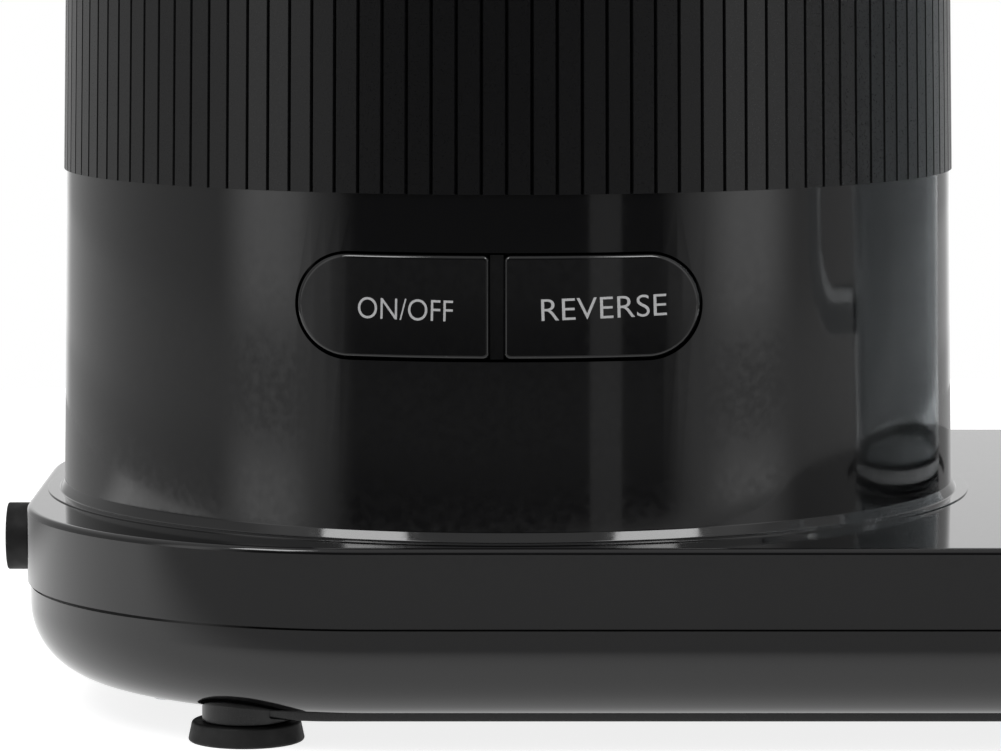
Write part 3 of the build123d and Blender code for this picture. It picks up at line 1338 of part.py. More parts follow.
SUBPARTS = {
    "main_housing": main_housing,
    "base_tray": base_tray,
    "bottom_plate": bottom_plate,
    "rubber_feet": rubber_feet,
    "bottom_screws": bottom_screws,
    "cord_gland": cord_gland,
    "ribbed_sleeve": ribbed_sleeve,
    "on_off_button": lambda: button(-1),
    "reverse_button": lambda: button(1),
    "switch_bodies": switch_bodies,
    "switch_board": switch_board,
    "button_carrier": button_carrier,
    "control_board": control_board,
    "board_components": board_components,
    "motor_bell_lower": motor_bell_lower,
    "motor_bell_upper": motor_bell_upper,
    "motor_stator": motor_stator,
    "motor_windings": motor_windings,
    "motor_bearings": motor_bearings,
    "motor_bolts": motor_bolts,
    "rotor_core": rotor_core,
    "rotor_shaft": rotor_shaft,
    "cooling_fan": cooling_fan,
    "first_reduction_gear": first_reduction_gear,
    "second_reduction_gear": second_reduction_gear,
    "output_gear": output_gear,
    "output_shaft": output_shaft,
    "gear_pins": gear_pins,
    "gearbox_plate": gearbox_plate,
    "gearbox_cover": gearbox_cover,
    "gearbox_screws": gearbox_screws,
    "output_bearings": output_bearings,
    "top_cover": top_cover,
    "cover_screws": cover_screws,
    "shaft_seal": shaft_seal,
    "bowl": bowl,
    "bowl_floor": bowl_floor,
    "pulp_duct": pulp_duct,
    "juice_spout": juice_spout,
    "bowl_seal": bowl_seal,
    "rim_gasket": rim_gasket,
    "cap_hinge_pin": cap_hinge_pin,
    "juice_cap": juice_cap,
    "juice_cap_seal": juice_cap_seal,
    "strainer_screen": strainer_screen,
    "strainer_frame": strainer_frame,
    "auger": auger,
    "auger_drive_sleeve": auger_drive_sleeve,
    "hopper_lid": hopper_lid,
    "feed_chute": feed_chute,
    "feed_tray": feed_tray,
    "pusher": pusher,
    "pusher_knob": pusher_knob,
    "juice_jug": juice_jug,
}

os.makedirs("parts", exist_ok=True)
for name, make in SUBPARTS.items():
    export_step(Pos(TOWER_X, 0, 0) * make(), f"parts/{name}.step")
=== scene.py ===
from math import atan2, cos, pi, radians, sin, tan
import bmesh
import bpy
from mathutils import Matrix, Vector


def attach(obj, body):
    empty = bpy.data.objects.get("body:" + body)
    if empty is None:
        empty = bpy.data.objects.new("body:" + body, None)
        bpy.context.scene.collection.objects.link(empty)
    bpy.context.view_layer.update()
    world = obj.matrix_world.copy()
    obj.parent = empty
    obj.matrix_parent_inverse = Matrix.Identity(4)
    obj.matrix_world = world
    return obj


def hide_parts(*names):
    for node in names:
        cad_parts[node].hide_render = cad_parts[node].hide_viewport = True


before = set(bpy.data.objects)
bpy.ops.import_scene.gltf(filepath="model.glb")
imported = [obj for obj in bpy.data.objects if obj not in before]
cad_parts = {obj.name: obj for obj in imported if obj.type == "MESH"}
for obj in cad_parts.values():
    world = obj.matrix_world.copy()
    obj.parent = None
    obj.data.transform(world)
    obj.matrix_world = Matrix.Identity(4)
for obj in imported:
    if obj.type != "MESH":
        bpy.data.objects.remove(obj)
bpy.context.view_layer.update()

MM = 0.001

# The table. A round matt white board under the machine, which the base's polished lower
# edge mirrors. Seen or through the bowl it is pure white, with a soft shadow. In mirrors a painted white glow is
# added, strong beside the machine and fading towards its front and back.

def select_only(*pieces):
    """Leaves object mode with only these pieces selected, the last one active."""
    if bpy.context.object and bpy.context.object.mode != "OBJECT":
        bpy.ops.object.mode_set(mode="OBJECT")
    bpy.ops.object.select_all(action="DESELECT")
    for piece in pieces:
        piece.select_set(True)
        bpy.context.view_layer.objects.active = piece


def linear(code):
    """Linear colour of an sRGB hex code."""
    channels = [int(code[i:i + 2], 16) / 255 for i in (1, 3, 5)]
    return [c / 12.92 if c <= 0.04045 else ((c + 0.055) / 1.055) ** 2.4 for c in channels] + [1.0]


def add_node(tree, kind, settings=None, links=None):
    """A shader node, with its settings by attribute or socket and its links by socket."""
    made = tree.nodes.new(kind)
    for name, value in (settings or {}).items():
        if isinstance(name, str) and hasattr(made, name):
            setattr(made, name, value)
        else:
            made.inputs[name].default_value = value
    for name, output in (links or {}).items():
        tree.links.new(output, made.inputs[name])
    return made


def new_material(name, settings):
    """A material on one Principled shader with these sockets set."""
    material = bpy.data.materials.new(name)
    material.use_nodes = True
    shader = material.node_tree.nodes["Principled BSDF"]
    for socket, value in settings.items():
        shader.inputs[socket].default_value = value
    return material, material.node_tree, shader


TABLE_R = 0.45
select_only()
bpy.ops.mesh.primitive_circle_add(vertices=160, radius=TABLE_R, fill_type="NGON", location=(0, 0.05, 0))
table = bpy.context.object
table.name = "table"
bpy.ops.object.transform_apply(location=True)
board, tree, shader = new_material("matt_white_board", {"Base Color": linear("#b8b8b8"), "Roughness": 0.85})
path = add_node(tree, "ShaderNodeLightPath")
direct = add_node(tree, "ShaderNodeMath", {"operation": "MAXIMUM"},
                  {0: path.outputs["Is Camera Ray"], 1: path.outputs["Is Transmission Ray"]})
place = add_node(tree, "ShaderNodeTexCoord")
split = add_node(tree, "ShaderNodeSeparateXYZ", None, {"Vector": place.outputs["Object"]})
forward = add_node(tree, "ShaderNodeMath", {"operation": "ABSOLUTE"}, {0: split.outputs["Y"]})
# In mirrors the board glows with painted white light beside the machine, fading towards its front and back edges to
# its own lit grey.
painted_glow_pool = add_node(tree, "ShaderNodeMapRange",
                {"interpolation_type": "SMOOTHSTEP", "From Min": 0.09, "From Max": 0.175,
                                             "To Min": 1.0, "To Max": 0.0}, {"Value": forward.outputs[0]})
# Glossy rays take the painted white glow wherever the pool mask allows it.
mirrored = add_node(tree, "ShaderNodeMath", {"operation": "MULTIPLY"},
                    {0: path.outputs["Is Glossy Ray"], 1: painted_glow_pool.outputs["Result"]})
seen = add_node(tree, "ShaderNodeMath", {"operation": "MAXIMUM"},
                {0: direct.outputs[0], 1: mirrored.outputs[0]})
white = add_node(tree, "ShaderNodeEmission", {"Color": (1, 1, 1, 1), "Strength": 0.83})
lit = add_node(tree, "ShaderNodeAddShader", None, {0: white.outputs[0], 1: shader.outputs[0]})
mixed = add_node(tree, "ShaderNodeMixShader", None,
                 {0: seen.outputs[0], 1: shader.outputs[0], 2: lit.outputs[0]})
tree.links.new(mixed.outputs[0], tree.nodes["Material Output"].inputs["Surface"])
table.data.materials.append(board)

# The studio. Grey walls all round, a brighter screen to each side, white behind, and a dim
# room in front, so that the black moulding stays dark in the middle between two soft bands.

ROOM_GREY = 0.07
WALL_STRIP = 0.12
SIDE_LEVEL = 0.5
SCREEN_LEVEL = 0.95
CEILING_LEVEL = 0.75
world = bpy.context.scene.world or bpy.data.worlds.new("studio")
bpy.context.scene.world = world
world.use_nodes = True
tree = world.node_tree
tree.nodes.clear()
direction = add_node(tree, "ShaderNodeTexCoord")
split = add_node(tree, "ShaderNodeSeparateXYZ", None, {"Vector": direction.outputs["Generated"]})
aside = add_node(tree, "ShaderNodeMath", {"operation": "ABSOLUTE"}, {0: split.outputs["X"]})
ahead = add_node(tree, "ShaderNodeMath", {"operation": "MULTIPLY", 1: -1.0}, {0: split.outputs["Y"]})
turn = add_node(tree, "ShaderNodeMath", {"operation": "ARCTAN2"}, {0: aside.outputs[0], 1: ahead.outputs[0]})
# The screens stand over the table's far edge, and a darker strip of wall shows under them.
over_edge = add_node(tree, "ShaderNodeMapRange",
                     {"interpolation_type": "SMOOTHSTEP", "From Min": sin(radians(-3.9)),
                                                  "From Max": sin(radians(-3.6))}, {"Value": split.outputs["Z"]})
under_edge = add_node(tree, "ShaderNodeMapRange",
                      {"interpolation_type": "SMOOTHSTEP", "From Min": sin(radians(-5.1)),
                                                   "From Max": sin(radians(-5.4))}, {"Value": split.outputs["Z"]})
screen_rows = add_node(tree, "ShaderNodeMath", {"operation": "MAXIMUM"},
                       {0: over_edge.outputs["Result"], 1: under_edge.outputs["Result"]})
screen_start = add_node(tree, "ShaderNodeMapRange",
                        {"interpolation_type": "SMOOTHSTEP", "From Min": radians(46),
                                                     "From Max": radians(61), "To Max": SCREEN_LEVEL},
                        {"Value": turn.outputs[0]})
screen_end = add_node(tree, "ShaderNodeMapRange", {"interpolation_type": "SMOOTHSTEP", "From Min": radians(66),
                                                   "From Max": radians(80), "To Min": 1.0, "To Max": 0.0},
                      {"Value": turn.outputs[0]})
screen_turn = add_node(tree, "ShaderNodeMath", {"operation": "MULTIPLY"},
                       {0: screen_start.outputs["Result"], 1: screen_end.outputs["Result"]})
screens = add_node(tree, "ShaderNodeMath", {"operation": "MULTIPLY"},
                   {0: screen_rows.outputs[0], 1: screen_turn.outputs[0]})
side_wall = add_node(tree, "ShaderNodeMapRange", {"interpolation_type": "SMOOTHSTEP", "From Min": radians(38),
                                                  "From Max": radians(48), "To Min": ROOM_GREY, "To Max": SIDE_LEVEL},
                     {"Value": turn.outputs[0]})
back_wall = add_node(tree, "ShaderNodeMapRange", {"interpolation_type": "SMOOTHSTEP", "From Min": radians(156),
                                                  "From Max": radians(170), "To Max": SIDE_LEVEL},
                     {"Value": turn.outputs[0]})
dim_strip = add_node(tree, "ShaderNodeMapRange", {"To Min": WALL_STRIP, "To Max": 0.0},
                     {"Value": screen_rows.outputs[0]})
round_walls = add_node(tree, "ShaderNodeMath", {"operation": "ADD"},
                       {0: side_wall.outputs["Result"], 1: back_wall.outputs["Result"]})
lit_walls = add_node(tree, "ShaderNodeMath", {"operation": "ADD"},
                     {0: round_walls.outputs[0], 1: screens.outputs[0]})
walls = add_node(tree, "ShaderNodeMath", {"operation": "ADD"},
                 {0: lit_walls.outputs[0], 1: dim_strip.outputs["Result"]})
above = add_node(tree, "ShaderNodeMapRange",
                 {"interpolation_type": "SMOOTHSTEP", "From Min": 0.35, "From Max": 0.8},
                 {"Value": split.outputs["Z"]})
ceiling = add_node(tree, "ShaderNodeMix", {"B": CEILING_LEVEL},
                   {"Factor": above.outputs["Result"], "A": walls.outputs[0]})
# Seen straight on, or through the clear pieces, the room is white.
path = add_node(tree, "ShaderNodeLightPath")
unmirrored = add_node(tree, "ShaderNodeMath", {"operation": "LESS_THAN", 1: 0.5},
                      {0: path.outputs["Glossy Depth"]})
through = add_node(tree, "ShaderNodeMath", {"operation": "MULTIPLY"},
                   {0: path.outputs["Is Transmission Ray"], 1: unmirrored.outputs[0]})
seen = add_node(tree, "ShaderNodeMath", {"operation": "MAXIMUM"},
                {0: path.outputs["Is Camera Ray"], 1: through.outputs[0]})
strength = add_node(tree, "ShaderNodeMix", {"B": 1.0}, {"Factor": seen.outputs[0], "A": ceiling.outputs[0]})
room = add_node(tree, "ShaderNodeBackground", {"Color": (1, 1, 1, 1)}, {"Strength": strength.outputs[0]})
add_node(tree, "ShaderNodeOutputWorld", None, {"Surface": room.outputs[0]})

# The lamps. Two tall soft boxes high in front draw the bright lines on the tower's foot, and
# a thin upright one leaves a faint stripe on its right half.

def soft_box(name, place, target, width, height, glow):
    """A rectangular lamp turned to face a point, as bright as a surface of that radiance."""
    lamp = bpy.data.lights.new(name, "AREA")
    lamp.shape = "RECTANGLE"
    lamp.size = width
    lamp.size_y = height
    lamp.energy = glow * pi * width * height
    holder = bpy.data.objects.new(name, lamp)
    bpy.context.scene.collection.objects.link(holder)
    holder.location = place
    holder.rotation_euler = (Vector(target) - Vector(place)).to_track_quat("-Z", "Y").to_euler()


TOWER_MIDDLE = (-0.043, 0, 0.08)
soft_box("left_lamp", (-0.82, -0.854, 1.3), TOWER_MIDDLE, 0.55, 0.6, 9.0)
soft_box("right_lamp", (0.757, -0.834, 1.3), TOWER_MIDDLE, 0.55, 0.6, 9.0)
soft_box("strip_lamp", (0.508, -1.25, 0.1), TOWER_MIDDLE, 0.19, 1.6, 0.28)

# The camera. A long lens a little above the table, looking down at the tower's lower half.

CAMERA_PLACE = (-0.04426, -0.840, 0.1399)
CAMERA_PITCH = 5.947
FOCAL_PIXELS = 4922
FRAME_WIDTH = 1001
SENSOR = 36.0
lens = bpy.data.cameras.new("camera")
lens.sensor_width = SENSOR
lens.sensor_fit = "HORIZONTAL"
lens.lens = FOCAL_PIXELS / FRAME_WIDTH * SENSOR
lens.clip_start = 0.01
camera = bpy.data.objects.new("camera", lens)
bpy.context.scene.collection.objects.link(camera)
camera.location = CAMERA_PLACE
camera.rotation_euler = (radians(90 - CAMERA_PITCH), 0, 0)
bpy.context.scene.camera = camera
bpy.context.scene.view_settings.view_transform = "Standard"

# The feet. Four cups of soft black rubber, each turned in one piece with the stem that is
# pushed up into the plate.

rubber, tree, shader = new_material("moulded_black_rubber", {"Base Color": linear("#060606"), "IOR": 1.4})
place = add_node(tree, "ShaderNodeTexCoord")
BLOOM_SIZE = 3.0 * MM
# Rubber is dull, with a faint greyish bloom in patches where it has been handled.
bloom = add_node(tree, "ShaderNodeTexNoise", {"Scale": 1 / BLOOM_SIZE, "Detail": 3.0},
                 {"Vector": place.outputs["Object"]})
dull = add_node(tree, "ShaderNodeMapRange", {"From Min": 0.3, "From Max": 0.7, "To Min": 0.5, "To Max": 0.72},
                {"Value": bloom.outputs["Fac"]})
SKIN_GRAIN = 0.35 * MM
grain = add_node(tree, "ShaderNodeTexNoise", {"Scale": 1 / SKIN_GRAIN, "Detail": 2.0},
                 {"Vector": place.outputs["Object"]})
bump = add_node(tree, "ShaderNodeBump", {"Strength": 0.25, "Distance": 0.03 * MM},
                {"Height": grain.outputs["Fac"]})
tree.links.new(dull.outputs["Result"], shader.inputs["Roughness"])
tree.links.new(bump.outputs["Normal"], shader.inputs["Normal"])

TOWER_X = -42.997
ARC_STEP = radians(11)


def trace(corners):
    """Points along an outline whose corners are (x, y) or (x, y, rounding)."""
    points = []
    for i, corner in enumerate(corners):
        here = Vector(corner[:2])
        if len(corner) == 2:
            points.append(here)
            continue
        back = (Vector(corners[i - 1][:2]) - here).normalized()
        ahead = (Vector(corners[(i + 1) % len(corners)][:2]) - here).normalized()
        half = back.angle(ahead) / 2
        centre = here + (back + ahead).normalized() * corner[2] / sin(half)
        start = here + back * corner[2] / tan(half) - centre
        end = here + ahead * corner[2] / tan(half) - centre
        sweep = -start.angle_signed(end)
        steps = max(2, round(abs(sweep) / ARC_STEP))
        for step in range(steps + 1):
            angle = sweep * step / steps
            points.append(centre + Vector((start.x * cos(angle) - start.y * sin(angle),
                                           start.x * sin(angle) + start.y * cos(angle))))
    return points


def turned(name, corners, x=TOWER_X, y=0, steps=192, lying_z=None):
    """A closed shape turned about an axis, from corners of (radius, height). With lying_z it
    lies along X at that height, and its heights are measured from the place x."""
    points = trace(corners)
    select_only()
    bpy.ops.mesh.primitive_plane_add(size=MM, location=(points[0].x * MM, 0, points[0].y * MM))
    piece = bpy.context.object
    piece.name = name
    bpy.ops.object.transform_apply(location=True)
    bpy.ops.object.mode_set(mode="EDIT")
    bpy.ops.mesh.select_all(action="SELECT")
    bpy.ops.mesh.merge(type="CENTER")
    if points[0].x > 0 or points[-1].x > 0:
        points.append(points[0])
    for last, point in zip(points, points[1:]):
        step = ((point.x - last.x) * MM, 0, (point.y - last.y) * MM)
        bpy.ops.mesh.extrude_vertices_move(TRANSFORM_OT_translate={"value": step})
    bpy.ops.mesh.select_all(action="SELECT")
    bpy.ops.mesh.spin(steps=steps, angle=2 * pi, center=(0, 0, 0), axis=(0, 0, 1))
    bpy.ops.mesh.select_all(action="SELECT")
    bpy.ops.mesh.remove_doubles(threshold=0.002 * MM)
    bpy.ops.mesh.select_all(action="SELECT")
    bpy.ops.mesh.normals_make_consistent(inside=False)
    bpy.ops.object.mode_set(mode="OBJECT")
    piece.location = (x * MM, y * MM, 0)
    if lying_z is not None:
        piece.location.z = lying_z * MM
        piece.rotation_euler.y = pi / 2
    bpy.ops.object.transform_apply(location=True, rotation=True)
    return piece


def finished(piece, material, body, slot, *nodes):
    """Smooths a piece, gives it its material, and sets it on its body in the frame."""
    select_only(piece)
    bpy.ops.object.shade_smooth_by_angle(angle=radians(30))
    bpy.ops.object.modifier_add(type="WEIGHTED_NORMAL")
    piece.modifiers[-1].keep_sharp = True
    bpy.ops.object.modifier_apply(modifier=piece.modifiers[-1].name)
    piece.data.materials.clear()
    piece.data.materials.append(material)
    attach(piece, body)
    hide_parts(*nodes)


def copied(piece, name, x, y):
    """A copy of a piece with its own mesh, moved along the table."""
    select_only(piece)
    bpy.ops.object.duplicate()
    twin = bpy.context.object
    twin.name = name
    twin.location = (x * MM, y * MM, 0)
    bpy.ops.object.transform_apply(location=True)
    return twin


FOOT_SHAPE = [(0, 1.6), (6.3, 1.6, 0.5), (7.9, 0, 0.3), (9.4, 0, 0.4), (8.7, 3.3, 0.5), (8.0, 3.2, 0.2),
              (3, 3.2),
              (3, 6.3), (0, 6.3)]
FOOT_X = {"left": -85.003, "right": 97.003}
FOOT_Y = 60.506
first_foot = turned("left_front_foot", FOOT_SHAPE, FOOT_X["left"], -FOOT_Y, 96)
feet = [first_foot]
for name, x, y in (("left_back_foot", 0, 2 * FOOT_Y), ("right_front_foot", FOOT_X["right"] - FOOT_X["left"], 0),
                   ("right_back_foot", FOOT_X["right"] - FOOT_X["left"], 2 * FOOT_Y)):
    feet.append(copied(first_foot, name, x, y))
for foot in feet:
    finished(foot, rubber, "motor_base", "black_rubber", "rubber_feet")

# The plain mouldings. What isn't polished is ABS from a spark-eroded mould: the closing
# plate, the sleeve, the fan and the knob.

satin, tree, shader = new_material("spark_eroded_black_abs", {"Base Color": linear("#070708"), "IOR": 1.4})
place = add_node(tree, "ShaderNodeTexCoord")
ERODED_GRAIN = 0.22 * MM
# The mould is spark-eroded, so the plastic has a fine even grain and only a soft sheen.
grain = add_node(tree, "ShaderNodeTexNoise", {"Scale": 1 / ERODED_GRAIN, "Detail": 2.0},
                 {"Vector": place.outputs["Object"]})
sheen = add_node(tree, "ShaderNodeMapRange", {"From Min": 0.3, "From Max": 0.7, "To Min": 0.26, "To Max": 0.36},
                 {"Value": grain.outputs["Fac"]})
bump = add_node(tree, "ShaderNodeBump", {"Strength": 0.3, "Distance": 0.02 * MM},
                {"Height": grain.outputs["Fac"]})
tree.links.new(sheen.outputs["Result"], shader.inputs["Roughness"])
tree.links.new(bump.outputs["Normal"], shader.inputs["Normal"])


def dress(material, *nodes):
    """Gives CAD nodes their material."""
    for node in nodes:
        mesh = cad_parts[node].data
        mesh.materials.clear()
        mesh.materials.append(material)


zinc, tree, shader = new_material("zinc_plated_steel", {"Base Color": linear("#b3b6ba"), "Metallic": 1.0})
place = add_node(tree, "ShaderNodeTexCoord")
PASSIVATION_PATCH = 1.6 * MM
# Bright passivated plating, a little cloudy from part to part.
cloud = add_node(tree, "ShaderNodeTexNoise", {"Scale": 1 / PASSIVATION_PATCH, "Detail": 3.0},
                 {"Vector": place.outputs["Object"]})
clouded = add_node(tree, "ShaderNodeMapRange",
                   {"From Min": 0.3, "From Max": 0.7, "To Min": 0.22, "To Max": 0.4},
                   {"Value": cloud.outputs["Fac"]})
tree.links.new(clouded.outputs["Result"], shader.inputs["Roughness"])
dress(zinc, "gearbox_screws", "cover_screws", "motor_bolts")

# The lower tray. A shallow dish of piano-black ABS, nearly flush with the deck and widely
# rounded below, so that it mirrors the table. A tongue round its top leaves the thin seam.

gloss, tree, shader = new_material("polished_black_abs", {"Base Color": linear("#070708"), "IOR": 1.5})
place = add_node(tree, "ShaderNodeTexCoord")
DUST_SIZE = 1.4 * MM
# A polished mould gives a mirror skin, with the least haze of dust and wiping on it.
dust = add_node(tree, "ShaderNodeTexNoise", {"Scale": 1 / DUST_SIZE, "Detail": 4.0},
                {"Vector": place.outputs["Object"]})
haze = add_node(tree, "ShaderNodeMapRange",
                {"From Min": 0.35, "From Max": 0.8, "To Min": 0.055, "To Max": 0.11},
                {"Value": dust.outputs["Fac"]})
SINK_WAVE = 11.0 * MM
# Thick sections sink a little as they cool, which bends long reflections very slightly.
wave = add_node(tree, "ShaderNodeTexNoise", {"Scale": 1 / SINK_WAVE, "Detail": 1.0},
                {"Vector": place.outputs["Object"]})
bump = add_node(tree, "ShaderNodeBump", {"Strength": 0.03, "Distance": 0.2 * MM},
                {"Height": wave.outputs["Fac"]})
tree.links.new(haze.outputs["Result"], shader.inputs["Roughness"])
tree.links.new(bump.outputs["Normal"], shader.inputs["Normal"])

BASE_LEFT, BASE_RIGHT = -123.257, 137.003
BASE_DEPTH = 163.012
BASE_CORNER = 58.5
DECK_Z = 33.8
SEAM_Z = 21.3
WALL = 2.8


def slab(name, levels, left=BASE_LEFT, right=BASE_RIGHT, depth=BASE_DEPTH, corner=BASE_CORNER):
    """The base's plan, or a smaller one, drawn through levels of (inset, height), either up
    or down, and closed at both ends. The first step keeps its inset."""
    first_inset, first_z = levels[0]
    falling = levels[1][1] < first_z
    select_only()
    bpy.ops.mesh.primitive_plane_add(size=1, location=((left + right) / 2 * MM, 0, first_z * MM))
    piece = bpy.context.object
    piece.name = name
    piece.scale = ((right - left - 2 * first_inset) * MM, (depth - 2 * first_inset) * MM, 1)
    bpy.ops.object.transform_apply(location=True, scale=True)
    bpy.ops.object.mode_set(mode="EDIT")
    bpy.ops.mesh.select_all(action="SELECT")
    bpy.ops.mesh.bevel(offset=(corner - first_inset) * MM, segments=32, affect="VERTICES")
    if falling:
        bpy.ops.mesh.flip_normals()
    for (inset, z), (next_inset, next_z) in zip(levels, levels[1:]):
        if next_inset == inset:
            bpy.ops.mesh.extrude_region_move(TRANSFORM_OT_translate={"value": (0, 0, (next_z - z) * MM)})
        else:
            bpy.ops.mesh.inset(thickness=(next_inset - inset) * MM, depth=abs(next_z - z) * MM)
    bpy.ops.mesh.select_all(action="SELECT")
    bpy.ops.mesh.remove_doubles(threshold=0.002 * MM)
    bpy.ops.mesh.normals_make_consistent(inside=False)
    bpy.ops.object.mode_set(mode="OBJECT")
    return piece


def edge_round(inset, z, rounding, steps, rise):
    """Levels of a rounded slab edge that starts upright at an inset and height."""
    turns = [pi / 2 * step / steps for step in range(1, steps + 1)]
    return [(inset + rounding * (1 - cos(t)), z + rise * rounding * sin(t)) for t in turns]


def carve(piece, tool, operation="DIFFERENCE"):
    """Cuts a tool out of a piece, or joins or crosses them, and takes the tool away."""
    select_only(piece)
    bpy.ops.object.modifier_add(type="BOOLEAN")
    change = piece.modifiers[-1]
    change.operation = operation
    change.solver = "EXACT"
    change.object = tool
    bpy.ops.object.modifier_apply(modifier=change.name)
    bpy.data.objects.remove(tool)


TRAY_INSET = 0.5
TRAY_Z = 5.7
TRAY_ROUND = 12.5
ROUND_RISE = 0.96
GROOVE = 0.6
round_z = TRAY_Z + TRAY_ROUND * ROUND_RISE
dish = [(TRAY_INSET, SEAM_Z - GROOVE), (TRAY_INSET, round_z)]
tray = slab("lower_tray", dish + edge_round(TRAY_INSET, round_z, TRAY_ROUND, 16, -ROUND_RISE))
carve(tray, slab("tongue", [(TRAY_INSET + 1, SEAM_Z), (TRAY_INSET + 1, SEAM_Z - 3)]), "UNION")
inner_round = TRAY_ROUND - WALL
inner_z = TRAY_Z + WALL + inner_round * ROUND_RISE
hollow = [(TRAY_INSET + WALL, SEAM_Z + 1), (TRAY_INSET + WALL, inner_z)]
carve(tray, slab("tray_hollow", hollow + edge_round(TRAY_INSET + WALL, inner_z, inner_round, 10, -ROUND_RISE)))
GLAND_R = 5.8
GLAND_Z = 24.7
gland_shape = [(0, -8), (GLAND_R, -8), (GLAND_R, 16), (0, 16)]
carve(tray, turned("gland_way", gland_shape, BASE_LEFT, 0, 64, GLAND_Z))
VENT_R = 38.0
carve(tray, turned("vent_way", [(0, 4), (VENT_R, 4), (VENT_R, 12), (0, 12)]))
CORNER_SCREWS = [(x, side * 54.26) for x in (-97.757, 109.757) for side in (-1, 1)]
SIDE_SCREWS = [(53.003, side * 62.006) for side in (-1, 1)]
SCREW_HEAD_R = 3.2
SCREW_HEAD = 1.6
well_shape = [(0, 4), (SCREW_HEAD_R + 0.4, 4), (SCREW_HEAD_R + 0.4, TRAY_Z + SCREW_HEAD),
              (0, TRAY_Z + SCREW_HEAD)]
for x, y in CORNER_SCREWS:
    carve(tray, turned("screw_well", well_shape, x, y, 48))
PEDESTAL_TOP = 7.0
pocket_shape = [(0, 4), (7.2, 4), (7.2, PEDESTAL_TOP + 0.1), (0, PEDESTAL_TOP + 0.1)]
for x in FOOT_X.values():
    for y in (-FOOT_Y, FOOT_Y):
        carve(tray, turned("pedestal_pocket", pocket_shape, x, y, 96))
finished(tray, gloss, "motor_base", "gloss_black", "base_tray")

# The closing plate. A thin satin moulding under the tray, with the cooling slots and the
# feet's pedestals on it. Two screws go through it, and four more hold the tray's corners.

PLATE_Z = 4.3
PLATE_EDGE = 0.5
edge_z = PLATE_Z + PLATE_EDGE
plate_levels = [(0, TRAY_Z), (0, edge_z)] + edge_round(0, edge_z, PLATE_EDGE, 4, -1)
plate = slab("closing_plate", plate_levels, BASE_LEFT + 32, BASE_RIGHT - 32, BASE_DEPTH - 25, 20)
pedestal = turned("pedestal", [(0, 3.3), (7.1, 3.3, 0.2), (7.1, PEDESTAL_TOP), (0, PEDESTAL_TOP)],
                  FOOT_X["left"],
                  -FOOT_Y, 96)
for x in (0, FOOT_X["right"] - FOOT_X["left"]):
    for y in (0, 2 * FOOT_Y):
        carve(plate, copied(pedestal, "foot_pedestal", x, y), "UNION")
bpy.data.objects.remove(pedestal)


def block(name, low, high):
    """A plain block between two corners, measured from the tower's axis."""
    select_only()
    bpy.ops.mesh.primitive_cube_add(size=1)
    piece = bpy.context.object
    piece.name = name
    piece.scale = [(b - a) * MM for a, b in zip(low, high)]
    piece.location = [(a + b) / 2 * MM for a, b in zip(low, high)]
    piece.location.x += TOWER_X * MM
    bpy.ops.object.transform_apply(location=True, scale=True)
    return piece


SLOT_PITCH = 7.0
SLOT_HALF = 1.5
SLOT_FIELD_R = 34.0
for i in range(-4, 5):
    y = SLOT_PITCH * i
    reach = (SLOT_FIELD_R ** 2 - y ** 2) ** 0.5
    carve(plate, block("cooling_slot", (-reach, y - SLOT_HALF, 3), (reach, y + SLOT_HALF, 8)))
finished(plate, satin, "motor_base", "matte_black", "bottom_plate")

screw_shape = [(0, 2.7), (2.4, 2.7, 0.6), (SCREW_HEAD_R, 3.5, 0.3), (SCREW_HEAD_R, PLATE_Z), (1.55, PLATE_Z),
               (1.55, 16.8), (0, 16.8)]
screw = turned("screw", screw_shape, TOWER_X, 0, 48)
for turn in (0, 1):
    half_x, half_y = (1.8, 0.4) if turn else (0.4, 1.8)
    carve(screw, block("cross_slot", (-half_x, -half_y, 2), (half_x, half_y, 3.6)))
for place, (x, y) in enumerate(CORNER_SCREWS + SIDE_SCREWS):
    base_screw = copied(screw, f"base_screw_{place + 1}", x - TOWER_X, y)
    if place < len(CORNER_SCREWS):
        base_screw.location.z = (TRAY_Z + SCREW_HEAD - PLATE_Z) * MM
        bpy.ops.object.transform_apply(location=True)
    finished(base_screw, zinc, "motor_base", "steel", "bottom_screws")
bpy.data.objects.remove(screw)

# The cord gland. A short grooved bush of black rubber, clamped between deck and tray at the
# left end. Only the bush belongs to this part, with its bore open for a cord.

GLAND_REACH = 5.7
bush_shape = [(3.6, -GLAND_REACH), (GLAND_R - 0.05, -GLAND_REACH, 0.3), (GLAND_R - 0.05, -1.9, 0.2),
              (GLAND_R - 0.7, -1.9),
              (GLAND_R - 0.7, -1.1), (GLAND_R - 0.05, -1.1), (GLAND_R - 0.05, 7), (7.2, 7), (7.2, 9), (3.6, 9)]
bush = turned("cord_bush", bush_shape, BASE_LEFT, 0, 96, GLAND_Z)
finished(bush, rubber, "motor_base", "black_rubber", "cord_gland")

# The power board, on four posts in the tray under the jug's place. A green circuit board
# with a capacitor, a relay, a transformer and a finned heat sink.

mask, tree, shader = new_material("green_solder_mask",
                                  {"Base Color": linear("#16562c"), "IOR": 1.55, "Coat Weight": 0.4,
                                                        "Coat Roughness": 0.15})
place = add_node(tree, "ShaderNodeTexCoord")
TRACK_PITCH = 2.5 * MM
# Copper tracks stand a little proud under the lacquer, so it looks finely ridged.
tracks = add_node(tree, "ShaderNodeTexVoronoi", {"distance": "CHEBYCHEV", "Scale": 1 / TRACK_PITCH},
                  {"Vector": place.outputs["Object"]})
rough = add_node(tree, "ShaderNodeMapRange", {"From Max": 0.6, "To Min": 0.25, "To Max": 0.4},
                 {"Value": tracks.outputs["Distance"]})
bump = add_node(tree, "ShaderNodeBump", {"Strength": 0.5, "Distance": 0.05 * MM},
                {"Height": tracks.outputs["Distance"]})
tree.links.new(rough.outputs["Result"], shader.inputs["Roughness"])
tree.links.new(bump.outputs["Normal"], shader.inputs["Normal"])
dress(mask, "control_board", "switch_board")

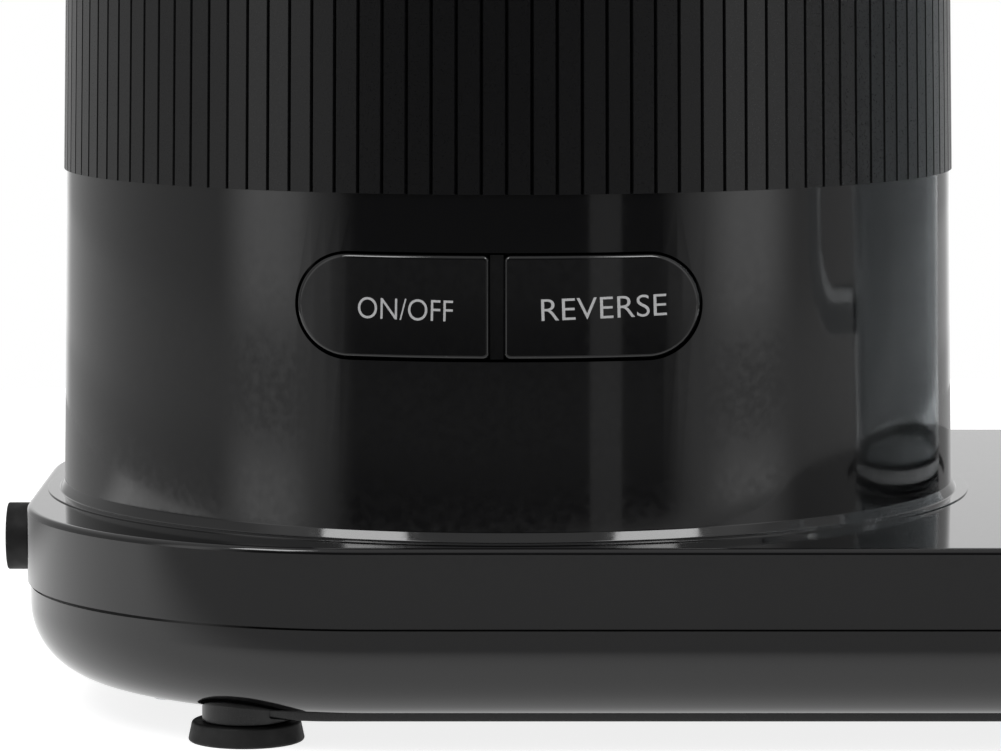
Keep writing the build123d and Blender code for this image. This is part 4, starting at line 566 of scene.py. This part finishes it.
epoxy, tree, shader = new_material("moulded_epoxy_case", {"Base Color": linear("#1a1b1d"), "IOR": 1.55})
place = add_node(tree, "ShaderNodeTexCoord")
FILLER_GRAIN = 0.3 * MM
# Filled epoxy and phenolic cases are dark, dry and slightly sandy.
grain = add_node(tree, "ShaderNodeTexNoise", {"Scale": 1 / FILLER_GRAIN, "Detail": 3.0},
                 {"Vector": place.outputs["Object"]})
rough = add_node(tree, "ShaderNodeMapRange", {"To Min": 0.42, "To Max": 0.62}, {"Value": grain.outputs["Fac"]})
bump = add_node(tree, "ShaderNodeBump", {"Strength": 0.2, "Distance": 0.03 * MM},
                {"Height": grain.outputs["Fac"]})
tree.links.new(rough.outputs["Result"], shader.inputs["Roughness"])
tree.links.new(bump.outputs["Normal"], shader.inputs["Normal"])
dress(epoxy, "board_components", "switch_bodies")

# The upper housing. The base's deck and the motor tower in one moulding of piano-black ABS.
# The tower stands on a low step, and a pill-shaped opening in its front takes the buttons.

DECK_EDGE = 1.0
deck = [(0, SEAM_Z), (0, DECK_Z - DECK_EDGE)] + edge_round(0, DECK_Z - DECK_EDGE, DECK_EDGE, 5, 1)
housing = slab("upper_housing", deck)
tower_shape = [(0, 25), (75.856, 25), (75.856, 31), (78.756, 31), (78.756, 34.0, 0.1), (76.65, 34.0, 0.35),
               (75.87, 35.5, 0.4),
               (75.006, 88.5), (72.406, 88.5), (72.406, 148), (0, 148)]
carve(housing, turned("tower", tower_shape), "UNION")
LIP = 7.0
LIP_THICK = 2.0
carve(housing, slab("deck_hollow", [(WALL, SEAM_Z + LIP_THICK), (WALL, DECK_Z - WALL)]))
carve(housing, slab("deck_mouth", [(LIP, SEAM_Z - 1), (LIP, SEAM_Z + LIP_THICK + 1)]))
bore_shape = [(0, 20), (73.056, 20), (73.056, 21.15), (72.206, 83.7), (69.606, 86.5), (60.006, 91),
              (60.006, 96),
              (69.606, 96), (69.606, 149), (0, 149)]
carve(housing, turned("bore", bore_shape))
JUG_X = TOWER_X + 131.0
RECESS_R = 44.0
recess_shape = [(0, DECK_Z - 1), (RECESS_R, DECK_Z - 1), (RECESS_R, DECK_Z + 1), (0, DECK_Z + 1)]
carve(housing, turned("recess", recess_shape, JUG_X))
carve(housing, turned("gland_way", gland_shape, BASE_LEFT, 0, 64, GLAND_Z))

BUTTON_TURN = radians(-1.3)
BUTTON_Z = 70.85
OPENING_WIDTH = 64.2
OPENING_HEIGHT = 17.1


def pill(name, left, right, height, left_r, right_r, near, far):
    """A round-cornered plate in the buttons' plane, drawn out from near to far from the
    tower's axis."""
    select_only()
    bpy.ops.mesh.primitive_plane_add(size=1, location=((left + right) / 2 * MM, 0, near * MM))
    piece = bpy.context.object
    piece.name = name
    piece.scale = ((right - left) * MM, height * MM, 1)
    bpy.ops.object.transform_apply(location=True, scale=True)
    middle = (left + right) / 2 * MM
    for side, rounding in ((-1, left_r), (1, right_r)):
        bpy.ops.object.mode_set(mode="EDIT")
        bpy.ops.mesh.select_mode(type="VERT")
        bpy.ops.mesh.select_all(action="DESELECT")
        mesh = bmesh.from_edit_mesh(piece.data)
        edge_x = max(side * vertex.co.x for vertex in mesh.verts)
        for vertex in mesh.verts:
            vertex.select_set(abs(side * vertex.co.x - edge_x) < 0.01 * MM and side * (vertex.co.x - middle) > 0)
        bmesh.update_edit_mesh(piece.data)
        bpy.ops.mesh.bevel(offset=rounding * MM, segments=24, affect="VERTICES")
    bpy.ops.mesh.select_all(action="SELECT")
    bpy.ops.mesh.remove_doubles(threshold=0.002 * MM)
    bpy.ops.mesh.extrude_region_move(TRANSFORM_OT_translate={"value": (0, 0, (far - near) * MM)})
    bpy.ops.mesh.select_all(action="SELECT")
    bpy.ops.mesh.normals_make_consistent(inside=False)
    bpy.ops.object.mode_set(mode="OBJECT")
    piece.rotation_euler = (pi / 2, 0, BUTTON_TURN)
    piece.location = (TOWER_X * MM, 0, BUTTON_Z * MM)
    bpy.ops.object.transform_apply(location=True, rotation=True)
    return piece


round_end = OPENING_HEIGHT / 2 - 0.001
opening = pill("opening", -OPENING_WIDTH / 2, OPENING_WIDTH / 2, OPENING_HEIGHT, round_end, round_end, 60, 90)
carve(housing, opening)
finished(housing, gloss, "motor_base", "gloss_black", "main_housing")

# The buttons. The two halves of one pill in the same gloss ABS, curved like the tower and a
# hair proud of it, each with a small softened edge.

BUTTON_GAP = 0.35
DIVIDER_X = -0.15
DIVIDER_WIDTH = 2.1
DIVIDER_GAP = 0.1
BUTTON_FACE_R = 75.556
BUTTON_DEPTH = 5.0
BUTTON_EDGE = 0.7
BUTTON_CORNER = 1.0
button_half = OPENING_WIDTH / 2 - BUTTON_GAP
button_height = OPENING_HEIGHT - 2 * BUTTON_GAP
button_round = button_height / 2 - 0.001
inner_left = DIVIDER_X - DIVIDER_WIDTH / 2 - DIVIDER_GAP
inner_right = DIVIDER_X + DIVIDER_WIDTH / 2 + DIVIDER_GAP
CAP_STRIP = 2.4
CAP_STRIPS = 13
cap_back = BUTTON_FACE_R - BUTTON_DEPTH
on_off = pill("on_off_cap", -button_half, inner_left, button_height, button_round, BUTTON_CORNER, cap_back,
              BUTTON_FACE_R)
reverse = pill("reverse_cap", inner_right, button_half, button_height, BUTTON_CORNER, button_round, cap_back,
               BUTTON_FACE_R)
for cap, node in ((on_off, "on_off_button"), (reverse, "reverse_button")):
    select_only(cap)
    bpy.ops.object.modifier_add(type="BEVEL")
    edge = cap.modifiers[-1]
    edge.width = BUTTON_EDGE * MM
    edge.segments = 6
    edge.limit_method = "ANGLE"
    edge.angle_limit = radians(40)
    edge.use_clamp_overlap = False
    bpy.ops.object.modifier_apply(modifier=edge.name)
    bpy.ops.object.mode_set(mode="EDIT")
    for strip in range(-CAP_STRIPS, CAP_STRIPS + 1):
        across = strip * CAP_STRIP
        bpy.ops.mesh.select_all(action="SELECT")
        bpy.ops.mesh.bisect(plane_co=((TOWER_X + across * cos(BUTTON_TURN)) * MM,
                                      across * sin(BUTTON_TURN) * MM, 0),
                            plane_no=(cos(BUTTON_TURN), sin(BUTTON_TURN), 0))
    bpy.ops.object.mode_set(mode="OBJECT")
    # The flat cap is then curved like the tower, strip by strip.
    for vertex in cap.data.vertices:
        across = (vertex.co.x / MM - TOWER_X) * cos(BUTTON_TURN) + vertex.co.y / MM * sin(BUTTON_TURN)
        sag = BUTTON_FACE_R - (BUTTON_FACE_R ** 2 - across ** 2) ** 0.5
        vertex.co.x -= sag * sin(BUTTON_TURN) * MM
        vertex.co.y += sag * cos(BUTTON_TURN) * MM
    finished(cap, gloss, node, "gloss_black", node)

# The button bracket. A plate behind the switch board with an arm to each side of the tower,
# and the polished bar that stands between the buttons.

bracket = block("button_bracket", (-40, -57.406, 60.8), (40, -55.006, 80.4))
for side in (-1, 1):
    low, high = sorted((side * 36, side * 40))
    carve(bracket, block("arm", (low, -62, 64.6), (high, -56, 76.6)), "UNION")
bar_low, bar_high = DIVIDER_X - DIVIDER_WIDTH / 2, DIVIDER_X + DIVIDER_WIDTH / 2
carve(bracket, block("bar", (bar_low, -80, BUTTON_Z - 8.2), (bar_high, -56, BUTTON_Z + 8.2)), "UNION")
reach_shape = [(0, 55), (74.406, 55), (74.406, 86), (0, 86)]
carve(bracket, turned("reach", reach_shape), "INTERSECT")
bracket.location = (-TOWER_X * MM, 0, 0)
select_only(bracket)
bpy.ops.object.transform_apply(location=True)
bracket.rotation_euler.z = BUTTON_TURN
bracket.location = (TOWER_X * MM, 0, 0)
bpy.ops.object.transform_apply(location=True, rotation=True)
finished(bracket, gloss, "motor_base", "gloss_black", "button_carrier")

# The button words. Pad-printed in light grey ink straight on the gloss, too thin to feel.

ink, tree, shader = new_material("pad_printed_grey_ink", {"IOR": 1.5})
place = add_node(tree, "ShaderNodeTexCoord")
INK_SPECK = 0.25 * MM
# Pad printing lays a slightly uneven film, so the grey varies by a shade.
speck = add_node(tree, "ShaderNodeTexNoise", {"Scale": 1 / INK_SPECK, "Detail": 2.0},
                 {"Vector": place.outputs["Object"]})
shade = add_node(tree, "ShaderNodeMix", {"data_type": "RGBA", 6: linear("#a9a9aa"), 7: linear("#bcbcbd")},
                 {0: speck.outputs["Fac"]})
tree.links.new(shade.outputs[2], shader.inputs["Base Color"])
rough = add_node(tree, "ShaderNodeMapRange", {"To Min": 0.35, "To Max": 0.5}, {"Value": speck.outputs["Fac"]})
tree.links.new(rough.outputs["Result"], shader.inputs["Roughness"])
INK_LIFT = 0.05
STROKE_TRIM = -0.006
for words, left, right, low, high, lean, cap, node in (
        ("ON/OFF", -23.6, -8.7, 68.8, 72.15, 1.2, on_off, "on_off_button"),
        ("REVERSE", 5.1, 24.8, 69.05, 72.5, -1.7, reverse, "reverse_button")):
    select_only()
    bpy.ops.object.text_add(location=(0, 0, 0))
    print_piece = bpy.context.object
    print_piece.data.body = words
    print_piece.data.offset = STROKE_TRIM
    print_piece.data.resolution_u = 8
    bpy.ops.object.convert(target="MESH")
    print_piece = bpy.context.object
    print_piece.name = node + "_words"
    corner_x = min(v.co.x for v in print_piece.data.vertices)
    corner_y = min(v.co.y for v in print_piece.data.vertices)
    wide = (right - left) * MM / print_piece.dimensions.x
    tall = (high - low) * MM / print_piece.dimensions.y
    print_piece.scale = (wide, tall, 1)
    print_piece.location = ((left - right) / 2 * MM - corner_x * wide,
                            (low - high) / 2 * MM - corner_y * tall, 0)
    bpy.ops.object.transform_apply(location=True, scale=True)
    print_piece.rotation_euler = (pi / 2, radians(lean), 0)
    print_piece.location = ((TOWER_X + (left + right) / 2) * MM, -0.09, (low + high) / 2 * MM)
    bpy.ops.object.transform_apply(location=True, rotation=True)
    bpy.ops.object.modifier_add(type="SHRINKWRAP")
    wrap = print_piece.modifiers[-1]
    wrap.target = cap
    wrap.wrap_method = "PROJECT"
    wrap.use_project_y = True
    wrap.offset = INK_LIFT * MM
    bpy.ops.object.modifier_apply(modifier=wrap.name)
    print_piece.data.materials.append(ink)
    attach(print_piece, node)

# The sleeve. A matte fluted tube of the same grained ABS, pushed over the neck of the
# tower. Its 120 narrow grooves give the hand a grip.

dress(satin, "ribbed_sleeve")

# The motor. A shaded induction motor between two die-cast bells: a stack of oiled electrical
# steel with enamelled windings, and a rotor with a cooling fan under it.

alloy, tree, shader = new_material("die_cast_aluminium", {"Base Color": linear("#a9abad"), "Metallic": 1.0})
place = add_node(tree, "ShaderNodeTexCoord")
CAST_SKIN = 1.2 * MM
# The cast skin is pale and softly pebbled, without a polish.
skin = add_node(tree, "ShaderNodeTexNoise", {"Scale": 1 / CAST_SKIN, "Detail": 4.0},
                {"Vector": place.outputs["Object"]})
rough = add_node(tree, "ShaderNodeMapRange", {"To Min": 0.4, "To Max": 0.58}, {"Value": skin.outputs["Fac"]})
bump = add_node(tree, "ShaderNodeBump", {"Strength": 0.4, "Distance": 0.08 * MM},
                {"Height": skin.outputs["Fac"]})
tree.links.new(rough.outputs["Result"], shader.inputs["Roughness"])
tree.links.new(bump.outputs["Normal"], shader.inputs["Normal"])
dress(alloy, "motor_bell_lower", "motor_bell_upper", "gearbox_plate", "gearbox_cover")

stack, tree, shader = new_material("laminated_electrical_steel",
                                   {"Base Color": linear("#5b5f64"), "Metallic": 1.0})
place = add_node(tree, "ShaderNodeTexCoord")
SHEET_THICK = 1.0 * MM
# The stack's edge shows its sheets as fine lines. They are drawn at twice their thickness.
sheets = add_node(tree, "ShaderNodeTexWave", {"bands_direction": "Z", "Scale": pi / (10 * SHEET_THICK)},
                  {"Vector": place.outputs["Object"]})
rough = add_node(tree, "ShaderNodeMapRange", {"To Min": 0.3, "To Max": 0.5}, {"Value": sheets.outputs["Fac"]})
bump = add_node(tree, "ShaderNodeBump", {"Strength": 0.6, "Distance": 0.05 * MM},
                {"Height": sheets.outputs["Fac"]})
tree.links.new(rough.outputs["Result"], shader.inputs["Roughness"])
tree.links.new(bump.outputs["Normal"], shader.inputs["Normal"])
dress(stack, "motor_stator", "rotor_core")

wire, tree, shader = new_material("enamelled_copper_wire", {"Base Color": linear("#b5652f"), "Metallic": 1.0})
place = add_node(tree, "ShaderNodeTexCoord")
WIRE = 0.8 * MM
# Bundled wire, glossy with enamel, its strands running round the axis.
strands = add_node(tree, "ShaderNodeTexWave",
                   {"wave_type": "RINGS", "rings_direction": "Z", "Scale": pi / (10 * WIRE),
                                               "Distortion": 1.5}, {"Vector": place.outputs["Object"]})
bump = add_node(tree, "ShaderNodeBump", {"Strength": 0.8, "Distance": 0.15 * MM},
                {"Height": strands.outputs["Fac"]})
rough = add_node(tree, "ShaderNodeMapRange", {"To Min": 0.22, "To Max": 0.38},
                 {"Value": strands.outputs["Fac"]})
tree.links.new(rough.outputs["Result"], shader.inputs["Roughness"])
tree.links.new(bump.outputs["Normal"], shader.inputs["Normal"])
dress(wire, "motor_windings")

ground, tree, shader = new_material("ground_bearing_steel", {"Base Color": linear("#c3c5c8"), "Metallic": 1.0})
place = add_node(tree, "ShaderNodeTexCoord")
GRIND_PITCH = 0.3 * MM
# Ground rings and shafts are bright, with fine lines round the axis.
squeezed = add_node(tree, "ShaderNodeMapping", {"Scale": (0.05, 0.05, 1.0)},
                    {"Vector": place.outputs["Object"]})
lines = add_node(tree, "ShaderNodeTexNoise", {"Scale": 1 / GRIND_PITCH, "Detail": 2.0},
                 {"Vector": squeezed.outputs["Vector"]})
rough = add_node(tree, "ShaderNodeMapRange", {"To Min": 0.15, "To Max": 0.35}, {"Value": lines.outputs["Fac"]})
tree.links.new(rough.outputs["Result"], shader.inputs["Roughness"])
dress(ground, "motor_bearings", "rotor_shaft", "gear_pins", "output_bearings")
dress(satin, "cooling_fan")

# The gears. Three wheels of natural acetal that turn on steel pins, and carry the motor's
# speed down to the slow output shaft.

acetal, tree, shader = new_material("natural_acetal", {"Base Color": linear("#e6e3d8"), "IOR": 1.48,
                                                       "Subsurface Weight": 0.15, "Subsurface Scale": 0.002})
place = add_node(tree, "ShaderNodeTexCoord")
GREASE_PATCH = 4.0 * MM
# Waxy and slightly see-through at the teeth, with wetter patches of grease.
grease = add_node(tree, "ShaderNodeTexNoise", {"Scale": 1 / GREASE_PATCH, "Detail": 2.0},
                  {"Vector": place.outputs["Object"]})
rough = add_node(tree, "ShaderNodeMapRange", {"From Min": 0.4, "From Max": 0.6, "To Min": 0.18, "To Max": 0.42},
                 {"Value": grease.outputs["Fac"]})
tree.links.new(rough.outputs["Result"], shader.inputs["Roughness"])
dress(acetal, "first_reduction_gear", "second_reduction_gear", "output_gear")

stainless, tree, shader = new_material("brushed_stainless_steel",
                                       {"Base Color": linear("#c6c6c4"), "Metallic": 1.0,
                                                                   "Anisotropic": 0.4})
place = add_node(tree, "ShaderNodeTexCoord")
BRUSH_PITCH = 0.25 * MM
# Brushing leaves fine level lines that spread the highlights upright.
squeezed = add_node(tree, "ShaderNodeMapping", {"Scale": (0.04, 0.04, 1.0)},
                    {"Vector": place.outputs["Object"]})
lines = add_node(tree, "ShaderNodeTexNoise", {"Scale": 1 / BRUSH_PITCH, "Detail": 3.0},
                 {"Vector": squeezed.outputs["Vector"]})
rough = add_node(tree, "ShaderNodeMapRange", {"To Min": 0.2, "To Max": 0.42}, {"Value": lines.outputs["Fac"]})
bump = add_node(tree, "ShaderNodeBump", {"Strength": 0.15, "Distance": 0.02 * MM},
                {"Height": lines.outputs["Fac"]})
tree.links.new(rough.outputs["Result"], shader.inputs["Roughness"])
tree.links.new(bump.outputs["Normal"], shader.inputs["Normal"])
dress(stainless, "output_shaft", "cap_hinge_pin", "strainer_screen", "auger_drive_sleeve")

# The top cover. A turned-looking disc of the gloss ABS that closes the tower, with the ring
# that centres the bowl and the raised hub round the drive shaft.

cover_shape = [(7.5, 165), (16, 165, 0.6), (17, 158, 0.5), (62.8, 158), (62.8, 161, 0.5), (65.2, 161, 1),
               (65.2, 158),
               (74.206, 158, 4), (74.206, 148), (69.406, 148), (69.406, 143), (66.606, 143), (66.606, 155), (13,
                                                                                                             155),
               (13, 162.6), (7.5, 162.6)]
cover = turned("tower_cover", cover_shape)
SCREW_CIRCLE = 56.0
for quarter in range(4):
    angle = pi / 4 + quarter * pi / 2
    screw_x = TOWER_X + SCREW_CIRCLE * cos(angle)
    screw_y = SCREW_CIRCLE * sin(angle)
    well_shape = [(0, 150), (1.6, 150), (1.6, 156.4), (3.4, 156.4), (3.4, 160), (0, 160)]
    carve(cover, turned("screw_well", well_shape, screw_x, screw_y, 48))
finished(cover, gloss, "motor_base", "gloss_black", "top_cover")
dress(rubber, "shaft_seal")

# The bowl. One clear moulding of copolyester: a conical wall with a thick rim, a floor on a
# skirt that locks on the tower, a duct for the pulp and a spout for the juice.

clear, tree, shader = new_material("clear_copolyester", {"Base Color": linear("#f6fafc"), "IOR": 1.57,
                                                         "Transmission Weight": 1.0})
place = add_node(tree, "ShaderNodeTexCoord")
WIPE_MARK = 6.0 * MM
# Clear and glossy, with a breath of haze where it has been washed and wiped.
wipes = add_node(tree, "ShaderNodeTexNoise", {"Scale": 1 / WIPE_MARK, "Detail": 5.0},
                 {"Vector": place.outputs["Object"]})
rough = add_node(tree, "ShaderNodeMapRange",
                 {"From Min": 0.4, "From Max": 0.75, "To Min": 0.01, "To Max": 0.05},
                 {"Value": wipes.outputs["Fac"]})
tree.links.new(rough.outputs["Result"], shader.inputs["Roughness"])


floor_shape = [(9, 178), (62.5, 178, 3), (62.5, 158.3), (59.5, 158.3), (59.5, 175), (12, 175), (12, 167),
               (9, 167)]
wall_shape = [(55.5, 177.2), (55.5, 178), (58, 262), (63, 262, 0.6), (63, 258, 0.6), (60.8, 255.2),
              (58.3, 182, 2.8),
              (61.5, 178), (59.4, 177.2)]
SPOUT_Z = 186.5
SPOUT_R = 9.4
SPOUT_BORE_R = 7.0
FLANGE_R = 11.6
PIN_X = 102.5
HINGE_Z = 202.0
KNUCKLE_R = 3.2


def joined(piece, tool, operation="UNION"):
    """Joins or cuts a moulding whose walls cross at fine angles, on plain triangles, and
    closes the hair-thin faces that this leaves."""
    for part in (piece, tool):
        select_only(part)
        bpy.ops.object.mode_set(mode="EDIT")
        bpy.ops.mesh.select_all(action="SELECT")
        bpy.ops.mesh.quads_convert_to_tris()
        bpy.ops.object.mode_set(mode="OBJECT")
    carve(piece, tool, operation)
    bpy.ops.object.mode_set(mode="EDIT")
    bpy.ops.mesh.select_all(action="SELECT")
    bpy.ops.mesh.remove_doubles(threshold=0.002 * MM)
    bpy.ops.mesh.select_all(action="SELECT")
    bpy.ops.mesh.dissolve_degenerate(threshold=0.002 * MM)
    bpy.ops.object.mode_set(mode="OBJECT")


clear_bowl = turned("clear_bowl", floor_shape)
joined(clear_bowl, turned("wall", wall_shape))
spout_shape = [(0, 50), (SPOUT_R, 50), (SPOUT_R, 101), (FLANGE_R, 101, 0.5), (FLANGE_R, 104, 0.5), (0, 104)]
spout = turned("spout", spout_shape, TOWER_X, 0, 96, SPOUT_Z)
for side in (-1, 1):
    low, high = sorted((side * 4.3, side * 7.3))
    joined(spout, block("ear", (101.05, low, SPOUT_Z + 6), (103.95, high, HINGE_Z)))
    select_only()
    bpy.ops.mesh.primitive_cylinder_add(vertices=48, radius=KNUCKLE_R * MM, depth=(high - low + 0.1) * MM,
                                        location=((TOWER_X + PIN_X) * MM, (low + high) / 2 * MM, HINGE_Z * MM),
                                        rotation=(pi / 2, 0, 0))
    joined(spout, bpy.context.object)
inside_shape = [(0, 170), (56.6, 170), (56.6, 176), (59.1, 262), (0, 262)]
joined(spout, turned("inside", inside_shape), "DIFFERENCE")
joined(clear_bowl, spout)
bore_shape = [(0, 30), (SPOUT_BORE_R, 30), (SPOUT_BORE_R, 106), (0, 106)]
joined(clear_bowl, turned("spout_bore", bore_shape, TOWER_X, 0, 80, SPOUT_Z), "DIFFERENCE")
joined(clear_bowl, block("duct", (-16.4, 20.2, 161.5), (16.4, 81.0, 175.6)))
joined(clear_bowl, block("duct_bore", (-14, 22.6, 163.9), (14, 83, 173)), "DIFFERENCE")
pulp_way = block("pulp_way", (-14.01, 0, 171), (14.01, 37, 183))
joined(pulp_way, turned("pulp_ring", [(22.61, 170), (37, 170), (37, 184), (22.61, 184)]), "INTERSECT")
joined(clear_bowl, pulp_way, "DIFFERENCE")
finished(clear_bowl, clear, "bowl", "clear_plastic", "bowl", "bowl_floor", "pulp_duct", "juice_spout")

silicone, tree, shader = new_material("grey_silicone", {"Base Color": linear("#8b8d90"), "IOR": 1.41,
                                                        "Subsurface Weight": 0.1, "Subsurface Scale": 0.001})
place = add_node(tree, "ShaderNodeTexCoord")
SILICONE_SKIN = 0.8 * MM
# Soft and dry to the touch, with a fine velvety skin.
skin = add_node(tree, "ShaderNodeTexNoise", {"Scale": 1 / SILICONE_SKIN, "Detail": 2.0},
                {"Vector": place.outputs["Object"]})
rough = add_node(tree, "ShaderNodeMapRange", {"To Min": 0.45, "To Max": 0.6}, {"Value": skin.outputs["Fac"]})
tree.links.new(rough.outputs["Result"], shader.inputs["Roughness"])
dress(silicone, "bowl_seal", "rim_gasket", "juice_cap_seal")

# The juice cap. A gloss black lid over the spout's mouth, which swings up on a steel pin.

cap_body = [(0, 104.3), (FLANGE_R, 104.3), (FLANGE_R, 107.7, 1.0), (0, 107.7)]
juice_cap = turned("spout_cap", cap_body, TOWER_X, 0, 96, SPOUT_Z)
joined(juice_cap, turned("plug_seat", [(0, 103), (8, 103), (8, 105.5), (0, 105.5)], TOWER_X, 0, 96, SPOUT_Z),
       "DIFFERENCE")
hinge_arm = block("hinge_arm", (104.4, -3.95, SPOUT_Z + 8), (107.6, 3.95, HINGE_Z + 1))
joined(hinge_arm, block("bridge", (PIN_X + 0.5, -3.9, HINGE_Z - 0.5),
                        (107.65, 3.9, HINGE_Z + KNUCKLE_R - 0.05)))
for radius, half, operation in ((KNUCKLE_R, 4, "UNION"), (1.55, 6, "DIFFERENCE")):
    select_only()
    bpy.ops.mesh.primitive_cylinder_add(vertices=48, radius=radius * MM, depth=2 * half * MM,
                                        location=((TOWER_X + PIN_X) * MM, 0, HINGE_Z * MM), rotation=(pi / 2, 0, 0))
    joined(hinge_arm, bpy.context.object, operation)
joined(juice_cap, hinge_arm)
finished(juice_cap, gloss, "juice_cap", "gloss_black", "juice_cap")

# The strainer and the auger. A slotted steel screen in a grey frame, and a screw of the same
# grey food-grade plastic that presses the fruit down against it.

smoked, tree, shader = new_material("grey_food_grade_polymer", {"Base Color": linear("#3c3e41"), "IOR": 1.6})
place = add_node(tree, "ShaderNodeTexCoord")
MOULD_FLOW = 9.0 * MM
# A dense engineering polymer: satin, with faint clouding where it flowed in the mould.
flow = add_node(tree, "ShaderNodeTexNoise", {"Scale": 1 / MOULD_FLOW, "Detail": 3.0, "Distortion": 1.0},
                {"Vector": place.outputs["Object"]})
shade = add_node(tree, "ShaderNodeMix", {"data_type": "RGBA", 6: linear("#37393c"), 7: linear("#414347")},
                 {0: flow.outputs["Fac"]})
tree.links.new(shade.outputs[2], shader.inputs["Base Color"])
rough = add_node(tree, "ShaderNodeMapRange", {"To Min": 0.28, "To Max": 0.4}, {"Value": flow.outputs["Fac"]})
tree.links.new(rough.outputs["Result"], shader.inputs["Roughness"])
dress(smoked, "strainer_frame", "auger")

# The lid. A clear disc with a skirt over the bowl's rim, a blind bush for the auger's pin
# and, to the left of it, the round chute that the food goes down.

lid_shape = [(0, 263.5), (4.05, 263.5), (4.05, 257.9), (7.5, 257.9), (7.5, 263.5), (63.3, 263.5), (63.3, 255.5),
             (65.7, 255.5), (65.7, 266.5, 3), (0, 266.5)]
CHUTE_X = TOWER_X - 30.0
lid = turned("clear_lid", lid_shape)
chute_shape = [(0, 264.5), (23, 264.5), (23, 343.5), (0, 343.5)]
carve(lid, turned("chute", chute_shape, CHUTE_X, 0, 128), "UNION")
carve(lid, turned("chute_bore", [(0, 260), (20.5, 260), (20.5, 345), (0, 345)], CHUTE_X, 0, 128))
finished(lid, clear, "lid", "clear_plastic", "hopper_lid", "feed_chute")

# The feed tray. A dished funnel of gloss black ABS that clips over the chute's mouth.

funnel_shape = [(23, 333.5), (25.4, 333.5), (25.4, 342.3, 3), (46, 348.7, 6), (50, 363.5, 0.8),
                (47.6, 363.5, 0.8),
                (43.6, 351.1, 4), (23, 344.7), (20.5, 344.7), (20.5, 343.5), (23, 343.5)]
funnel = turned("dished_tray", funnel_shape, CHUTE_X)
finished(funnel, gloss, "lid", "gloss_black", "feed_tray")

# The pusher. A hollow gloss black plunger with a shoulder that stops on the tray, and a
# grained knob pressed into its upper end.

plunger_shape = [(17.5, 275), (19.9, 275), (19.9, 345), (23.5, 345, 0.4), (23.5, 348, 1), (15.9, 350, 2),
                 (15.9, 363),
                 (13.5, 363), (13.5, 341), (17.5, 338)]
plunger = turned("plunger", plunger_shape, CHUTE_X, 0, 128)
finished(plunger, gloss, "pusher", "gloss_black", "pusher")
knob_shape = [(0, 359), (13.4, 359), (13.4, 363), (23, 363, 2), (26, 369.5, 3), (22, 376, 4), (0, 376)]
knob = turned("plunger_knob", knob_shape, CHUTE_X, 0, 128)
finished(knob, satin, "pusher", "matte_black", "pusher_knob")

# The juice jug. Clear copolyester like the bowl, with a drawn pouring lip and a loop handle,
# standing in the deck's shallow recess.

JUG_Z = 33.1
JUG_TOP_Z = 150.1
jug_shape = [(0, JUG_Z + 0.8), (32, JUG_Z + 0.8, 0.3), (32, JUG_Z, 0.2), (38, JUG_Z, 2), (42, JUG_TOP_Z, 0.5),
             (39.6, JUG_TOP_Z, 0.5), (35.6, 36.3, 2), (0, 36.3)]
jug = turned("clear_jug", jug_shape, JUG_X)
root_shape = [(0, 30), (36.8, 30), (40.8, 155), (0, 155)]
LIP_LOW_Z = 136.1
lip_x = JUG_X + 40
lip = turned("lip", [(0, LIP_LOW_Z), (0.1, LIP_LOW_Z), (8.4, JUG_TOP_Z, 0.4), (0, JUG_TOP_Z)], lip_x, 0, 96)
carve(lip, turned("lip_root", root_shape, JUG_X))
carve(jug, lip, "UNION")
carve(jug, turned("lip_hollow", [(0, 138.5), (0.1, 138.5), (6.9, 152.2), (0, 152.2)], lip_x, 0, 96))

ROOT_Y, GRIP_Y = -37.5, -67.0
HANDLE_TOP_Z, HANDLE_LOW_Z = 132.1, 63.1
BEND_R = 12.0
select_only()
bpy.ops.mesh.primitive_circle_add(vertices=48, radius=1, fill_type="NGON", rotation=(pi / 2, 0, 0),
                                  location=(JUG_X * MM, ROOT_Y * MM, HANDLE_TOP_Z * MM))
handle = bpy.context.object
handle.name = "handle"
handle.scale = (6.3 * MM, 4.5 * MM, 1)
bpy.ops.object.transform_apply(location=True, rotation=True, scale=True)
bpy.ops.object.mode_set(mode="EDIT")
bpy.ops.mesh.select_all(action="SELECT")
lean = atan2(3, HANDLE_TOP_Z - HANDLE_LOW_Z)
upper_turn, lower_turn = pi / 2 + lean, pi / 2 - lean
upper_run, lower_run = BEND_R * tan(upper_turn / 2), BEND_R * tan(lower_turn / 2)
start_y = GRIP_Y + upper_run
bpy.ops.mesh.extrude_region_move(TRANSFORM_OT_translate={"value": (0, (start_y - ROOT_Y) * MM, 0)})
bpy.ops.mesh.spin(steps=14, angle=upper_turn, center=(JUG_X * MM, start_y * MM, (HANDLE_TOP_Z - BEND_R) * MM),
                  axis=(-1, 0, 0))
grip = (HANDLE_TOP_Z - HANDLE_LOW_Z) / cos(lean) - upper_run - lower_run
bpy.ops.mesh.extrude_region_move(TRANSFORM_OT_translate={"value": (0, grip * sin(lean) * MM,
                                                                   -grip * cos(lean) * MM)})
end_y = GRIP_Y + 3 + lower_run
bpy.ops.mesh.spin(steps=14, angle=lower_turn, center=(JUG_X * MM, end_y * MM, (HANDLE_LOW_Z + BEND_R) * MM),
                  axis=(-1, 0, 0))
bpy.ops.mesh.extrude_region_move(TRANSFORM_OT_translate={"value": (0, (ROOT_Y - end_y) * MM, 0)})
bpy.ops.mesh.select_all(action="SELECT")
bpy.ops.mesh.remove_doubles(threshold=0.002 * MM)
bpy.ops.mesh.normals_make_consistent(inside=False)
bpy.ops.object.mode_set(mode="OBJECT")
carve(handle, turned("handle_root", root_shape, JUG_X))
carve(jug, handle, "UNION")
finished(jug, clear, "jug", "clear_plastic", "juice_jug")
